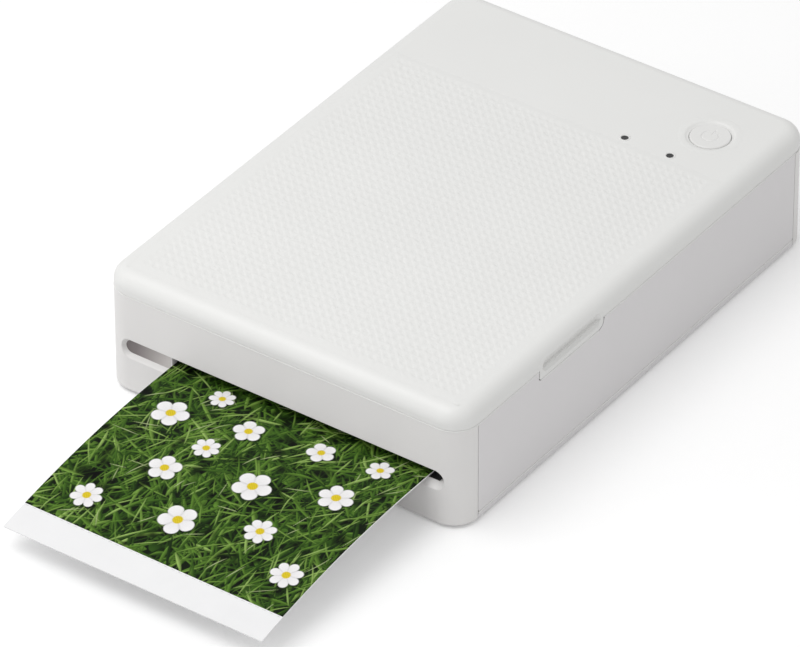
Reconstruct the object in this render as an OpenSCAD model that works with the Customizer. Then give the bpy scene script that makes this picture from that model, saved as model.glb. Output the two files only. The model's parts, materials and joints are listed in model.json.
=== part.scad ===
// Compact photo printer with a hinged top cover, a front slot and a printed sheet leaving it.
// X runs across the printer, Y from front to rear, Z up from the surface under the feet.
// Distances called "behind the front" are measured from the front face of the case.

/* [Case] */
// Width of the case, side to side
body_w = 102.2; // [101:0.2:112]
// Length of the case, front to rear
body_l = 145; // [144.6:0.2:160]
// Height of the case without its feet
case_h = 32.6; // [32.4:0.2:38]
// Radius of the upright corners
corner_r = 6.6; // [5.6:0.2:7.4]
// Radius of the rounded top edge
top_r = 3.8; // [2.8:0.1:4]
// Thickness of the front, side and rear panels
wall_t = 2; // [1.6:0.1:2.2]
// Thickness of the floor
floor_t = 1.8; // [1.4:0.1:1.9]
// Thickness of the top cover
cover_t = 1.8; // [1.4:0.1:1.9]
// Height of the top cover above its parting line
cover_h = 5.2; // [5:0.1:5.8]
// Gap along each seam of the case
seam = 0.3; // [0.2:0.05:0.4]
// Height of the sill below each side panel
sill_h = 2; // [1.6:0.1:2.6]
// How far the rubber feet stand out below the floor
foot_out = 0.4; // [0.3:0.1:1.2]
// Radius of a rubber foot
foot_r = 4; // [3:0.2:5]

/* [Finger tab] */
// Where the tab starts behind the front
tab_from = 31.2; // [24:0.2:40]
// Length of the tab along the side
tab_len = 26; // [20:0.5:34]
// How far the tab hangs below the parting line
tab_drop = 2.5; // [2:0.1:3.5]
// Radius of the finger scoop in the tab
scoop_r = 2.6; // [2:0.1:3]
// Depth of the finger scoop
scoop_deep = 0.8; // [0.4:0.1:1]

/* [Slot and sheet] */
// Distance from an end of the slot's mouth to the side of the case
slot_side = 4.8; // [4.6:0.1:6]
// Height of the slot's mouth on the front face
slot_mouth = 5.4; // [4.6:0.1:6]
// Height of the throat that the sheet leaves through
slot_throat = 2.6; // [2.4:0.1:3]
// Depth of the flared lip of the mouth
lip_deep = 1.7; // [1.4:0.1:1.9]
// Height of the slot's middle above the case's underside
slot_up = 12.3; // [11.8:0.1:12.8]
// Room beside a sheet for the walls, side plates and gears, both sides together
side_room = 29.2; // [28.7:0.1:32]
// Room ahead of and behind a sheet in the tray, both together
stack_room = 60; // [59.6:0.2:62]
// Thickness of a sheet
paper_t = 0.3; // [0.2:0.05:0.35]
// How far the paper path lies to the right of the middle
path_x = 4.8; // [4.4:0.1:5.2]
// How much of the printed sheet stands out of the slot
sheet_out = 64.3; // [50:0.1:68]
// Radius of the printed sheet's droop
droop_r = 273; // [250:1:400]

/* [Power button] */
// Radius of the button cap
button_r = 5.5; // [4.5:0.1:6.2]
// Distance of the button from the right side
button_side = 16.1; // [14.1:0.2:19.1]
// Distance of the button in front of the rear face
button_back = 18.5; // [16:0.5:24]
// How far the button travels
button_travel = 0.8; // [0.4:0.1:1]
// Radius of a lamp window
lamp_r = 0.9; // [0.6:0.1:1.2]
// Distance of the lamps in front of the rear face
lamp_back = 31; // [30:0.5:34]

/* [Paper feed] */
// Distance of the exit rollers behind the front
exit_y = 9; // [8.6:0.1:9.4]
// Distance of the platen behind the front
platen_y = 34; // [33:0.2:34.6]
// Distance of the pick-up roller behind the front
pickup_y = 64; // [62:0.5:67]
// Radius of the exit roller and the platen
roller_r = 3.8; // [3.4:0.1:4]
// Radius of the upper pinch roller
pinch_r = 3; // [2.6:0.1:3.2]
// Radius of the pick-up tyres
pickup_r = 4; // [3.6:0.1:4.4]
// Radius of the roller shafts
shaft_r = 1.5; // [1.2:0.1:1.7]
// Running gap between the sheet and a roller
nip_gap = 0.35; // [0.3:0.05:0.5]
// Module of the gear teeth
gear_module = 0.5; // [0.48:0.01:0.52]
// Thickness of the sheet-metal frame
frame_t = 0.8; // [0.6:0.1:1]
// Number of sheets in the tray
stack_count = 12; // [4:1:14]

/* [Ribbon cassette] */
// Distance between the two spools
spool_gap = 27; // [26.6:0.1:27.4]
// Height of the spools above the case's underside
spool_up = 21.3; // [21:0.1:21.6]
// Inner radius of a spool chamber
chamber_r = 6; // [5.8:0.1:6.1]
// Wall of a spool chamber
chamber_t = 1; // [0.8:0.1:1.1]
// Radius of the ribbon wound on the supply spool
supply_r = 5.2; // [4:0.1:5.4]
// Radius of the ribbon wound on the take-up spool
takeup_r = 4; // [3.6:0.1:5.4]

/* [Hinge] */
// Height of the hinge axis above the parting line
hinge_up = 1.6; // [1.5:0.05:1.7]
// Distance of the hinge axis in front of the rear face
hinge_in = 2.4; // [2.3:0.05:2.6]
// Radius of a hinge pin
pin_r = 0.8; // [0.7:0.05:0.9]

/* [Hidden] */

$fn = 64;
fit_gap = 0.02;        // between pieces that are pressed or glued together
run_gap = 0.06;        // around a shaft or pin that turns
clear_gap = 0.3;       // between pieces that pass each other
eps = 0.5;             // how far a cutter runs past what it cuts

front_y = -body_l / 2;
rear_y = body_l / 2;
side_x = body_w / 2;
paper_w = body_w - side_room;
paper_len = body_l - stack_room;
slot_w = body_w - 2 * slot_side;
base_z = foot_out;
floor_z = base_z + floor_t;
part_z = base_z + case_h - cover_h;
panel_z = part_z - seam / 2;
cover_z = part_z + seam / 2;
top_z = base_z + case_h;
under_z = top_z - cover_t;
slot_z = base_z + slot_up;
path_z = slot_z - 0.3;
sheet_top = path_z + paper_t / 2;
sheet_low = path_z - paper_t / 2;

// Frame of the mechanism: the paper path with a side plate on each side of it
path_gap = 2.2;
plate_left = path_x - paper_w / 2 - path_gap - frame_t;
plate_right = path_x + paper_w / 2 + path_gap;
plate_front = 6.4;
plate_rear = 72;

// Roller axes
low_z = sheet_low - nip_gap - roller_r;
pinch_z = sheet_top + nip_gap + pinch_r;
tray_z = path_z + 0.8;
pickup_z = tray_z - nip_gap - pickup_r;
head_low = sheet_top + 0.8;
spool_z = base_z + spool_up;
takeup_y = platen_y - spool_gap / 2;
supply_y = platen_y + spool_gap / 2;

// Gear train, in two planes outside the left side plate
gear_w = 1.4;
gear_near = plate_left - 0.6 - gear_w;
gear_far = gear_near - 0.4 - gear_w;
gear_plate_t = 0.6;
gear_plate_x = gear_far - 0.6 - gear_plate_t;
mesh_gap = 0.1;
roller_teeth = 20;
front_teeth = 37;
rear_teeth = 45;
pinion_teeth = 12;
takeup_teeth = 18;

function pitch_r(teeth) = teeth * gear_module / 2;
function fy(d) = front_y + d;
// The point above the line between a and b that lies ra from a and rb from b
function apex(a, b, ra, rb, side) =
    let (d = norm(b - a), u = (b - a) / d, s = (ra * ra - rb * rb + d * d) / (2 * d),
         h = sqrt(ra * ra - s * s))
    a + u * s + side * h * [-u[1], u[0]];
// Direction in degrees from a to b
function heading(a, b) = atan2(b[1] - a[1], b[0] - a[0]);
// Angle of a tooth of a gear that meshes with one whose tooth stands at angle phase
function mesh_phase(dir, teeth_a, phase, teeth_b) =
    dir + 180 - 360 / teeth_b * (0.5 - teeth_a * (dir - phase) / 360);

exit_c = [fy(exit_y), low_z];
platen_c = [fy(platen_y), low_z];
pickup_c = [fy(pickup_y), pickup_z];
pinch_c = [fy(exit_y), pinch_z];
takeup_c = [fy(takeup_y), spool_z];
supply_c = [fy(supply_y), spool_z];
front_reach = pitch_r(roller_teeth) + pitch_r(front_teeth) + mesh_gap;
rear_reach = pitch_r(roller_teeth) + pitch_r(rear_teeth) + mesh_gap;
front_c = apex(exit_c, platen_c, front_reach, front_reach, 1);
rear_c = apex(platen_c, pickup_c, rear_reach, rear_reach, 1);
pinion_c = apex(front_c, takeup_c, pitch_r(front_teeth) + pitch_r(pinion_teeth) + mesh_gap,
                pitch_r(takeup_teeth) + pitch_r(pinion_teeth) + mesh_gap, 1);
exit_phase = 0;
front_phase = mesh_phase(heading(exit_c, front_c), roller_teeth, exit_phase, front_teeth);
platen_phase = mesh_phase(heading(front_c, platen_c), front_teeth, front_phase, roller_teeth);
rear_phase = mesh_phase(heading(platen_c, rear_c), roller_teeth, platen_phase, rear_teeth);
pickup_phase = mesh_phase(heading(rear_c, pickup_c), rear_teeth, rear_phase, roller_teeth);
pinion_phase = mesh_phase(heading(front_c, pinion_c), front_teeth, front_phase, pinion_teeth);
takeup_phase = mesh_phase(heading(pinion_c, takeup_c), pinion_teeth, pinion_phase, takeup_teeth);

// Hinge
hinge_y = rear_y - hinge_in;
hinge_z = part_z + hinge_up;
lobe_r = norm([hinge_in, hinge_up - seam / 2]) + 0.06;
knuckle_r = 1.6;
knuckle_x = side_x - 14.1;
knuckle_w = 6;

white = [0.9, 0.9, 0.89];
grey = [0.76, 0.75, 0.75];
dark = [0.13, 0.13, 0.14];
steel = [0.72, 0.73, 0.75];
rubber = [0.2, 0.2, 0.21];
gear_white = [0.88, 0.86, 0.8];

// ---- shared shapes ----

module rounded_rect(w, l, r) {
    square([w - 2 * r, l], center = true);
    square([w, l - 2 * r], center = true);
    for (x = [-1, 1], y = [-1, 1])
        translate([x * (w / 2 - r), y * (l / 2 - r)]) circle(r);
}

module slab(w, l, r, z0, z1) {
    translate([0, 0, z0]) linear_extrude(z1 - z0) rounded_rect(w, l, r);
}

module block(x0, x1, y0, y1, z0, z1) {
    translate([x0, y0, z0]) cube([x1 - x0, y1 - y0, z1 - z0]);
}

// Children drawn in the Y-Z plane and carried along X from x0, at the point c
module along_x(x0, c = [0, 0]) {
    translate([x0, c[0], c[1]]) rotate([90, 0, 90]) children();
}

module rod_x(x0, x1, c, r) {
    along_x(x0, c) cylinder(r = r, h = x1 - x0);
}

module tube_x(x0, x1, c, r, bore) {
    along_x(x0, c) linear_extrude(x1 - x0) difference() {
        circle(r);
        circle(bore);
    }
}

module post(x, y, z0, z1, r) {
    translate([x, y, z0]) cylinder(r = r, h = z1 - z0);
}

module quarter_disc(r) {
    intersection() {
        circle(r);
        square(r + 1);
    }
}

// A profile drawn outward from the corner axis, turned round corner i or carried along side i.
// Corners and sides count anticlockwise from the rear right corner and the right side.
module round_corner(i) {
    x = (i == 0 || i == 3 ? 1 : -1) * (side_x - corner_r);
    y = (i < 2 ? 1 : -1) * (rear_y - corner_r);
    translate([x, y, 0]) rotate([0, 0, 90 * i]) rotate_extrude(angle = 90) children();
}

module along_side(i) {
    out = i % 2 == 0 ? side_x - corner_r : rear_y - corner_r;
    half = i % 2 == 0 ? rear_y - corner_r : side_x - corner_r;
    rotate([0, 0, 90 * i]) translate([out, half, 0])
        rotate([90, 0, 0]) linear_extrude(2 * half) children();
}

// A long slot with round ends, from size h0 at the face to size h1 at the given depth
module flared_slot(len, h0, h1, depth) {
    shrink = (h0 - h1) / 2;
    half = len / 2 - h0 / 2;
    for (x = [-half, half])
        translate([x, 0, 0]) rotate([-90, 0, 0]) cylinder(r1 = h0 / 2, r2 = h1 / 2, h = depth);
    along_x(-half) linear_extrude(2 * half)
        polygon([[0, -h0 / 2], [depth, -h0 / 2 + shrink], [depth, h0 / 2 - shrink], [0, h0 / 2]]);
}

module gear_outline(teeth, phase) {
    r = pitch_r(teeth);
    tip = r + 0.8 * gear_module;
    root = r - 1.1 * gear_module;
    tooth = 3.14159 * gear_module;
    tip_a = 0.24 * tooth / 2 / tip * 57.3;
    root_a = 0.62 * tooth / 2 / root * 57.3;
    polygon([for (i = [0:teeth - 1], p = [[root, -root_a], [tip, -tip_a], [tip, tip_a], [root, root_a]])
        let (a = phase + 360 * i / teeth + p[1]) p[0] * [cos(a), sin(a)]]);
}

module gear(x0, w, c, teeth, phase, bore, hub = 0) {
    along_x(x0, c) linear_extrude(w) difference() {
        gear_outline(teeth, phase);
        circle(bore);
        if (hub > 0)
            for (i = [0:5])
                rotate([0, 0, 60 * i]) translate([(hub + pitch_r(teeth)) / 2, 0])
                    circle((pitch_r(teeth) - hub) / 2 - 1.2);
    }
}

// Points of a coil from z0 to z1, as rings of a round wire
coil_sides = 6;
coil_steps = 12;
function coil_ring(i, r, wire, z0, z1, turns) =
    let (n = turns * coil_steps, a = 360 * i / coil_steps,
         z = z0 + wire / 2 + (z1 - z0 - wire) * i / n)
    [for (k = [0:coil_sides - 1]) let (b = 360 * k / coil_sides, d = r + wire / 2 * cos(b))
        [d * cos(a), d * sin(a), z + wire / 2 * sin(b)]];
function coil_gap(r, wire, z0, z1, turns) =
    let (c = [for (i = [0:turns * coil_steps]) let (a = 360 * i / coil_steps)
        [r * cos(a), r * sin(a), z0 + (z1 - z0 - wire) * i / (turns * coil_steps)]])
    min([for (i = [0:len(c) - 1]) for (j = [i + coil_steps / 2:1:len(c) - 1])
        norm(c[i] - c[j])]) - wire;

module coil(r, wire, z0, z1, turns) {
    n = turns * coil_steps;
    points = [for (i = [0:n]) each coil_ring(i, r, wire, z0, z1, turns)];
    sides = [for (i = [0:n - 1], k = [0:coil_sides - 1])
        let (k2 = (k + 1) % coil_sides, a = i * coil_sides, b = a + coil_sides)
        each [[a + k, a + k2, b + k2], [a + k, b + k2, b + k]]];
    start = [for (k = [1:coil_sides - 2]) [0, k + 1, k]];
    end = [for (k = [1:coil_sides - 2]) [0, k, k + 1] + n * coil_sides * [1, 1, 1]];
    polyhedron(points, concat(sides, start, end));
}

// ---- case ----

foot_x = side_x - 10;
foot_y = rear_y - 11;
foot_deep = 0.8;
screw_x = side_x - corner_r + 1.4;
screw_y = rear_y - corner_r + 1.85;
boss_h = 2.6;
edge_cut = 0.5;
sill_z = base_z + sill_h - seam / 2;

// Upright section of the front and rear panels
module panel_section() {
    polygon([[corner_r - wall_t, base_z], [corner_r - edge_cut, base_z],
             [corner_r, base_z + edge_cut], [corner_r, panel_z], [corner_r - wall_t, panel_z]]);
}

// Boss for a case screw, with a web that joins it to the wall
module screw_boss(x, y) {
    reach = rear_y - wall_t + 0.3 - abs(y);
    post(x, y, floor_z, floor_z + boss_h, 1.9);
    translate([x, (y > 0 ? 1 : -1) * (abs(y) + reach / 2), floor_z + boss_h / 2])
        cube([2.2, reach, boss_h], center = true);
}

module screw_pilot(x, y) {
    post(x, y, floor_z - eps, floor_z + boss_h - 0.4, 0.97);
}

board_x1 = side_x - wall_t - 2.6;
board_x0 = board_x1 - 34;
board_y0 = fy(plate_rear) + 9;
board_y1 = rear_y - wall_t - 1.5;
board_z = floor_z + 2.2;
board_t = 1;
board_posts = [for (x = [board_x0 + 2.5, board_x1 - 2.5], y = [board_y0 + 2.5, board_y1 - 8]) [x, y]];
battery_w = 38;
battery_l = paper_len - 35;
battery_x = board_x0 - 4.7 - battery_w / 2;
battery_y = rear_y - 12 - battery_l / 2;
battery_h = 7.6;
tray_posts = [for (x = [-battery_w / 2 - 1.8, battery_w / 2 + 2.2],
                  y = [-battery_l / 2 - 5.5, battery_l / 2 + 6]) [battery_x + x, battery_y + y]];

module bottom_case() {
    in = wall_t + seam / 2;
    sill_in = side_x - wall_t - 1.2;
    sill_half = rear_y - corner_r - seam / 2;
    color(white) difference() {
        union() {
            slab(body_w - 2 * in, body_l - 2 * in, corner_r - in, base_z, floor_z);
            for (s = [0, 180])
                rotate([0, 0, s]) translate([0, sill_half, 0]) rotate([90, 0, 0])
                    linear_extrude(2 * sill_half)
                        polygon([[sill_in, base_z], [side_x - edge_cut, base_z],
                                 [side_x, base_z + edge_cut], [side_x, sill_z], [sill_in, sill_z]]);
            for (p = tray_posts)
                post(p[0], p[1], floor_z - 0.2, tray_z - 1, 1.5);
            for (p = board_posts)
                post(p[0], p[1], floor_z - 0.2, board_z, 1.9);
            // fence round the battery
            difference() {
                block(battery_x - battery_w / 2 - 1.3, battery_x + battery_w / 2 + 1.3,
                      battery_y - battery_l / 2 - 1.3, battery_y + battery_l / 2 + 1.3,
                      floor_z - 0.2, floor_z + 2);
                block(battery_x - battery_w / 2 - clear_gap, battery_x + battery_w / 2 + clear_gap,
                      battery_y - battery_l / 2 - clear_gap, battery_y + battery_l / 2 + clear_gap,
                      floor_z - 0.2, floor_z + 3);
                block(battery_x - 12, battery_x + 12, battery_y - battery_l, battery_y + battery_l,
                      floor_z, floor_z + 3);
            }
        }
        for (x = [-1, 1], y = [-1, 1]) {
            post(x * foot_x, y * foot_y, base_z - eps, base_z + foot_deep, foot_r + fit_gap);
            post(x * screw_x, y * screw_y, base_z - eps, floor_z + eps, 1.1);
            post(x * screw_x, y * screw_y, base_z - eps, base_z + 1, 1.85);
        }
        // vents below the motor and the main board
        for (i = [0:6]) {
            block(5.2 - side_x, 7.7 - side_x, fy(20 + 3 * i), fy(21.2 + 3 * i), base_z - eps, floor_z + eps);
            block(board_x0 + 5.5, board_x1 - 6.5, board_y0 + 14 + 4 * i, board_y0 + 15.4 + 4 * i,
                  base_z - eps, floor_z + eps);
        }
    }
}

slot_back = 3.2;
throat_w = slot_w - slot_mouth + slot_throat;
step_x = path_x - paper_w / 2 - 0.3;

module front_panel() {
    color(white) difference() {
        union() {
            round_corner(2) panel_section();
            round_corner(3) panel_section();
            along_side(3) panel_section();
            block(-slot_w / 2 - 1, slot_w / 2 + 1, fy(wall_t - 0.4), fy(slot_back),
                  slot_z - slot_mouth / 2 - 1.4, slot_z + slot_mouth / 2 + 1.4);
            for (x = [-1, 1])
                screw_boss(x * screw_x, -screw_y);
            // ribs that stiffen the face above the slot
            for (x = [-30:15:30])
                block(x - 0.4, x + 0.4, fy(wall_t - 0.2), fy(slot_back), slot_z + 4, panel_z - 2);
        }
        translate([0, front_y, slot_z]) flared_slot(slot_w, slot_mouth, slot_throat, lip_deep);
        translate([0, fy(lip_deep - 0.01), slot_z]) rotate([90, 0, 180])
            linear_extrude(slot_back) intersection() {
                union() {
                    square([throat_w - slot_throat, slot_throat], center = true);
                    for (x = [-1, 1])
                        translate([x * (throat_w - slot_throat) / 2, 0]) circle(slot_throat / 2);
                }
                translate([-body_w, -5]) square([body_w - step_x, 10]);
            }
        for (x = [-1, 1])
            screw_pilot(x * screw_x, -screw_y);
    }
}

// Outline of the finger tab in the Y-Z plane, grown by g on its free sides
module tab_outline(g, top) {
    y0 = fy(tab_from) - g;
    y1 = fy(tab_from + tab_len) + g;
    z0 = part_z - tab_drop - g;
    r0 = 0.6 + g;
    r1 = 2 + g;
    translate([y0 + r0, z0]) square([y1 - y0 - r0 - r1, top - z0]);
    translate([y0, z0 + r0]) square([r0 + 0.1, top - z0 - r0]);
    translate([y1 - r1 - 0.1, z0 + r1]) square([r1 + 0.1, top - z0 - r1]);
    translate([y0 + r0, z0 + r0]) circle(r0);
    translate([y1 - r1, z0 + r1]) circle(r1);
}

// Plain outline of a side panel in the Y-Z plane, with small rounds at its lower corners
module side_outline() {
    half = rear_y - corner_r - seam / 2;
    z0 = base_z + sill_h + seam / 2;
    r = 0.8;
    translate([-half, z0 + r]) square([2 * half, panel_z - z0 - r]);
    translate([-half + r, z0]) square([2 * half - 2 * r, r + 0.1]);
    for (s = [-1, 1])
        translate([s * (half - r), z0 + r]) circle(r);
}

// Hooks and ribs on the inner face of a side panel, for the right side
module side_ribs(y_list) {
    in = side_x - wall_t;
    for (y = y_list) {
        block(in - 1.6, in + 0.2, y - 3, y + 3, sill_z + 0.35, sill_z + 3);
        block(in - 0.8, in + 0.2, y - 0.5, y + 0.5, sill_z + 2, panel_z - 1.6);
    }
}

module right_panel() {
    color(grey) {
        difference() {
            along_x(side_x - wall_t) linear_extrude(wall_t) difference() {
                side_outline();
                tab_outline(seam, panel_z + 1);
            }
        }
        side_ribs([fy(20), rear_y - 69, rear_y - 47, rear_y - 13]);
    }
}

module left_panel() {
    color(grey) mirror([1, 0, 0]) {
        along_x(side_x - wall_t) linear_extrude(wall_t) side_outline();
        side_ribs([fy(26), rear_y - 81, rear_y - 47, rear_y - 13]);
    }
}

usb_x = side_x - 21.1;
usb_z = board_z + board_t + 1.6;
usb_w = 9;
usb_h = 3.2;

// A flat port outline with round ends
module port_outline(w, h) {
    square([w - h, h], center = true);
    for (x = [-1, 1])
        translate([x * (w - h) / 2, 0]) circle(h / 2);
}

// Groove that the cover's rear foot turns in. It tapers out round the rear corners, as far as
// the cover's rim reaches behind the hinge axis there.
groove_steps = [0, 0.23, 0.45, 0.61, 0.79];
function rim_back(t) = max(0, rear_y - corner_r + corner_r * sqrt(1 - t * t) - hinge_y);
function groove_r(t) = norm([rim_back(t), hinge_up - seam / 2]) + (t > 0.7 ? 0.1 : clear_gap);

module hinge_groove() {
    side = [for (t = groove_steps) [groove_r(t), side_x - corner_r + t * corner_r]];
    n = len(side) - 1;
    along_x(0, [hinge_y, hinge_z]) rotate_extrude()
        polygon([[0, -side[n][1]], for (i = [n:-1:0]) [side[i][0], -side[i][1]], each side, [0, side[n][1]]]);
}

module rear_panel() {
    neck_y0 = hinge_y - knuckle_r;
    color(white) {
        difference() {
            union() {
                difference() {
                    union() {
                        round_corner(0) panel_section();
                        round_corner(1) panel_section();
                        along_side(1) panel_section();
                    }
                    hinge_groove();
                }
                for (x = [-1, 1]) {
                    screw_boss(x * screw_x, screw_y);
                    translate([x * knuckle_x - knuckle_w / 2, 0, 0]) {
                        rod_x(0, knuckle_w, [hinge_y, hinge_z], knuckle_r);
                        block(0, knuckle_w, neck_y0, hinge_y + 1.2, hinge_z - 4.5, hinge_z);
                        block(0, knuckle_w, neck_y0, rear_y - wall_t + 0.3,
                              hinge_z - 9, hinge_z - 3.4);
                    }
                }
            }
            for (x = [-1, 1]) {
                screw_pilot(x * screw_x, screw_y);
                translate([x * knuckle_x - knuckle_w, 0, 0])
                    rod_x(0, 2 * knuckle_w, [hinge_y, hinge_z], pin_r + fit_gap);
            }
            translate([usb_x, rear_y - wall_t - eps, usb_z]) rotate([90, 0, 180])
                linear_extrude(wall_t + 2 * eps) port_outline(usb_w + 0.6, usb_h + 0.6);
            translate([usb_x, rear_y - 0.7, usb_z]) rotate([90, 0, 180])
                linear_extrude(2) port_outline(usb_w + 2.6, usb_h + 2.6);
        }
    }
}

module rubber_feet() {
    color(rubber)
        for (x = [-1, 1], y = [-1, 1])
            translate([x * foot_x, y * foot_y, 0]) rotate_extrude()
                polygon([[0, 0], [foot_r - 0.4, 0], [foot_r, 0.3], [foot_r, base_z + foot_deep],
                         [0, base_z + foot_deep]]);
}

// Pan-head screw with its head below, standing on z
module screw(x, y, z, head_r, head_h, shank_r, len) {
    translate([x, y, z]) rotate_extrude()
        polygon([[0, 0], [head_r - 0.3, 0], [head_r, 0.3], [head_r, head_h], [shank_r, head_h],
                 [shank_r, head_h + len], [0, head_h + len]]);
}

module case_screws() {
    color(steel)
        for (x = [-1, 1], y = [-1, 1])
            screw(x * screw_x, y * screw_y, base_z + 0.1, 1.65, 0.9, 0.95, floor_t - 1 + boss_h - 0.6);
}

// ---- frame, tray and electronics ----

frame_top = spool_z + 3.4;
bush_r = 2.5;

module frame_side(holes) {
    difference() {
        polygon([[fy(plate_front), floor_z], [fy(plate_rear), floor_z], [fy(plate_rear), tray_z - 0.4],
                 [fy(plate_rear - 8), tray_z + 1.6], [supply_c[0] + 5, frame_top],
                 [takeup_c[0] - 4.5, frame_top], [takeup_c[0] - 8, pinch_z + 6.4],
                 [fy(plate_front), pinch_z + 6.4]]);
        for (c = [exit_c, platen_c, pickup_c, pinch_c])
            translate(c) circle(bush_r + fit_gap);
        if (holes) {
            translate(takeup_c) circle(2 + run_gap);
            for (c = [front_c, rear_c])
                translate(c) circle(idler_pin_r + fit_gap);
        }
        // rows of weight-saving holes
        for (d = [9.5, 18])
            translate([platen_c[0] + d, low_z + 1]) circle(2.2);
    }
}

module chassis() {
    color(steel) {
        along_x(plate_left) linear_extrude(frame_t) frame_side(true);
        along_x(plate_right) linear_extrude(frame_t) frame_side(false);
        difference() {
            block(plate_left, plate_right + frame_t, fy(plate_front), fy(plate_rear),
                  floor_z, floor_z + frame_t);
            for (y = [exit_y, platen_y, pickup_y])
                block(path_x - paper_w / 2 + 6.5, path_x + paper_w / 2 - 6.5, fy(y) - 3, fy(y) + 3, 0, floor_z + 2);
            for (x = exit_xs, y = [platen_y - 12.5, platen_y + 15])
                if (x != path_x)
                    post(x, fy(y), 0, floor_z + 2, 1.6);
            block(path_x - 18, path_x + 18, fy(platen_y - 16), fy(platen_y - 9), 0, floor_z + 2);
            block(path_x - 18, path_x + 18, fy(platen_y + 8), fy(platen_y + 22), 0, floor_z + 2);
        }
    }
}

idler_pin_r = 1;
spacer_points = [[fy(platen_y), floor_z + 20], [pinch_c[0], pinch_z + 4.9],
                 [front_c[0], floor_z + 1.6]];
motor_r = 6;
motor_h = 10;
motor_l = 7.5;

module gear_plate() {
    color(steel) {
        along_x(gear_plate_x) linear_extrude(gear_plate_t) difference() {
            polygon([[fy(plate_front - 1.4), low_z + 6], [fy(plate_front - 1.4), pinion_c[1] + 4.6],
                     [pinion_c[0] + 7.5, pinion_c[1] + 4.6], [pinion_c[0] + 12, frame_top],
                     [rear_c[0] - 3, frame_top], [rear_c[0] + 3.5, rear_c[1] + 3],
                     [rear_c[0] + 3.5, rear_c[1] - 5], [rear_c[0] - 6, rear_c[1] - 6],
                     [front_c[0] + 10, floor_z + 0.3], [front_c[0] - 6, floor_z + 0.3]]);
            for (c = [front_c, rear_c])
                translate(c) circle(idler_pin_r + fit_gap);
            translate(pinion_c) circle(2.2);
            translate([(front_c[0] + rear_c[0]) / 2, front_c[1]]) circle(4);
        }
        for (p = spacer_points)
            rod_x(gear_plate_x + gear_plate_t, plate_left, p, 1.3);
    }
}

module idler_pins() {
    color(steel)
        for (c = [front_c, rear_c]) {
            rod_x(gear_plate_x, plate_left + frame_t, c, idler_pin_r);
            rod_x(plate_left + frame_t, plate_left + frame_t + 0.4, c, idler_pin_r + 0.6);
        }
}

pinch_shaft_r = 1.2;

// Flanged bush in a side plate, with its flange towards dir
module bush(x, dir, c, bore) {
    tube_x(x, x + frame_t, c, bush_r, bore);
    tube_x(dir > 0 ? x + frame_t : x - 0.5, dir > 0 ? x + frame_t + 0.5 : x, c, bush_r + 0.7, bore);
}

module bearings() {
    color(gear_white)
        for (c = [exit_c, platen_c, pickup_c, pinch_c]) {
            bore = (c == pinch_c ? pinch_shaft_r : shaft_r) + run_gap;
            bush(plate_left, -1, c, bore);
            bush(plate_right, 1, c, bore);
        }
}

module exit_guide() {
    x0 = plate_left + frame_t + 0.4;
    x1 = plate_right - 0.4;
    y0 = fy(slot_back);
    y1 = fy(min(5.6, exit_y - 3.4));
    color(dark) {
        block(x0, x1, y0, y1, slot_z - slot_throat / 2 - 1, slot_z - slot_throat / 2);
        block(x0, x1, y0, y1, slot_z + slot_throat / 2, slot_z + slot_throat / 2 + 1);
        block(x0, x0 + 0.9, y0, y1, slot_z - slot_throat / 2, slot_z + slot_throat / 2);
        block(x1 - 0.9, x1, y0, y1, slot_z - slot_throat / 2, slot_z + slot_throat / 2);
    }
}

tray_in = 0.4;
tray_wall = 1;
tray_h = 5.3;
tray_y0 = fy(pickup_y - 8.8);
stack_y = tray_y0 + tray_wall + 0.2;
tray_y1 = stack_y + paper_len + tray_in + tray_wall;

module paper_tray() {
    x0 = path_x - paper_w / 2 - tray_in - tray_wall;
    x1 = path_x + paper_w / 2 + tray_in + tray_wall;
    color(dark) difference() {
        union() {
            difference() {
                block(x0, x1, tray_y0, tray_y1, tray_z - 1, tray_z + tray_h);
                block(x0 + tray_wall, x1 - tray_wall, tray_y0 + tray_wall, tray_y1 - tray_wall,
                      tray_z, tray_z + tray_h + eps);
            }
        }
        // feed gap below the front wall
        block(x0 + tray_wall, x1 - tray_wall, tray_y0 - eps, tray_y0 + 2, tray_z, tray_z + 0.6);
        // windows for the pick-up tyres
        for (x = pickup_xs)
            block(x - pickup_w / 2 - 1, x + pickup_w / 2 + 1,
                  fy(pickup_y) - pickup_r - 0.6, fy(pickup_y) + pickup_r + 0.6, 0, tray_z + eps);
        // window under the middle of the stack and finger notches in the sides
        block(path_x - 20, path_x + 20, tray_y0 + 28, tray_y0 + 66, 0, tray_z + eps);
        block(x0 - eps, x1 + eps, tray_y0 + 38, tray_y0 + 58, tray_z + 1.5, tray_z + tray_h + eps);
    }
}

module paper_stack() {
    color([0.95, 0.95, 0.95])
        for (i = [0:stack_count - 1])
            block(path_x - paper_w / 2, path_x + paper_w / 2, stack_y, stack_y + paper_len,
                  tray_z + i * paper_t, tray_z + (i + 1) * paper_t - 0.02);
}

function along_board(t) = board_y0 + t * (board_y1 - board_y0);

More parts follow.
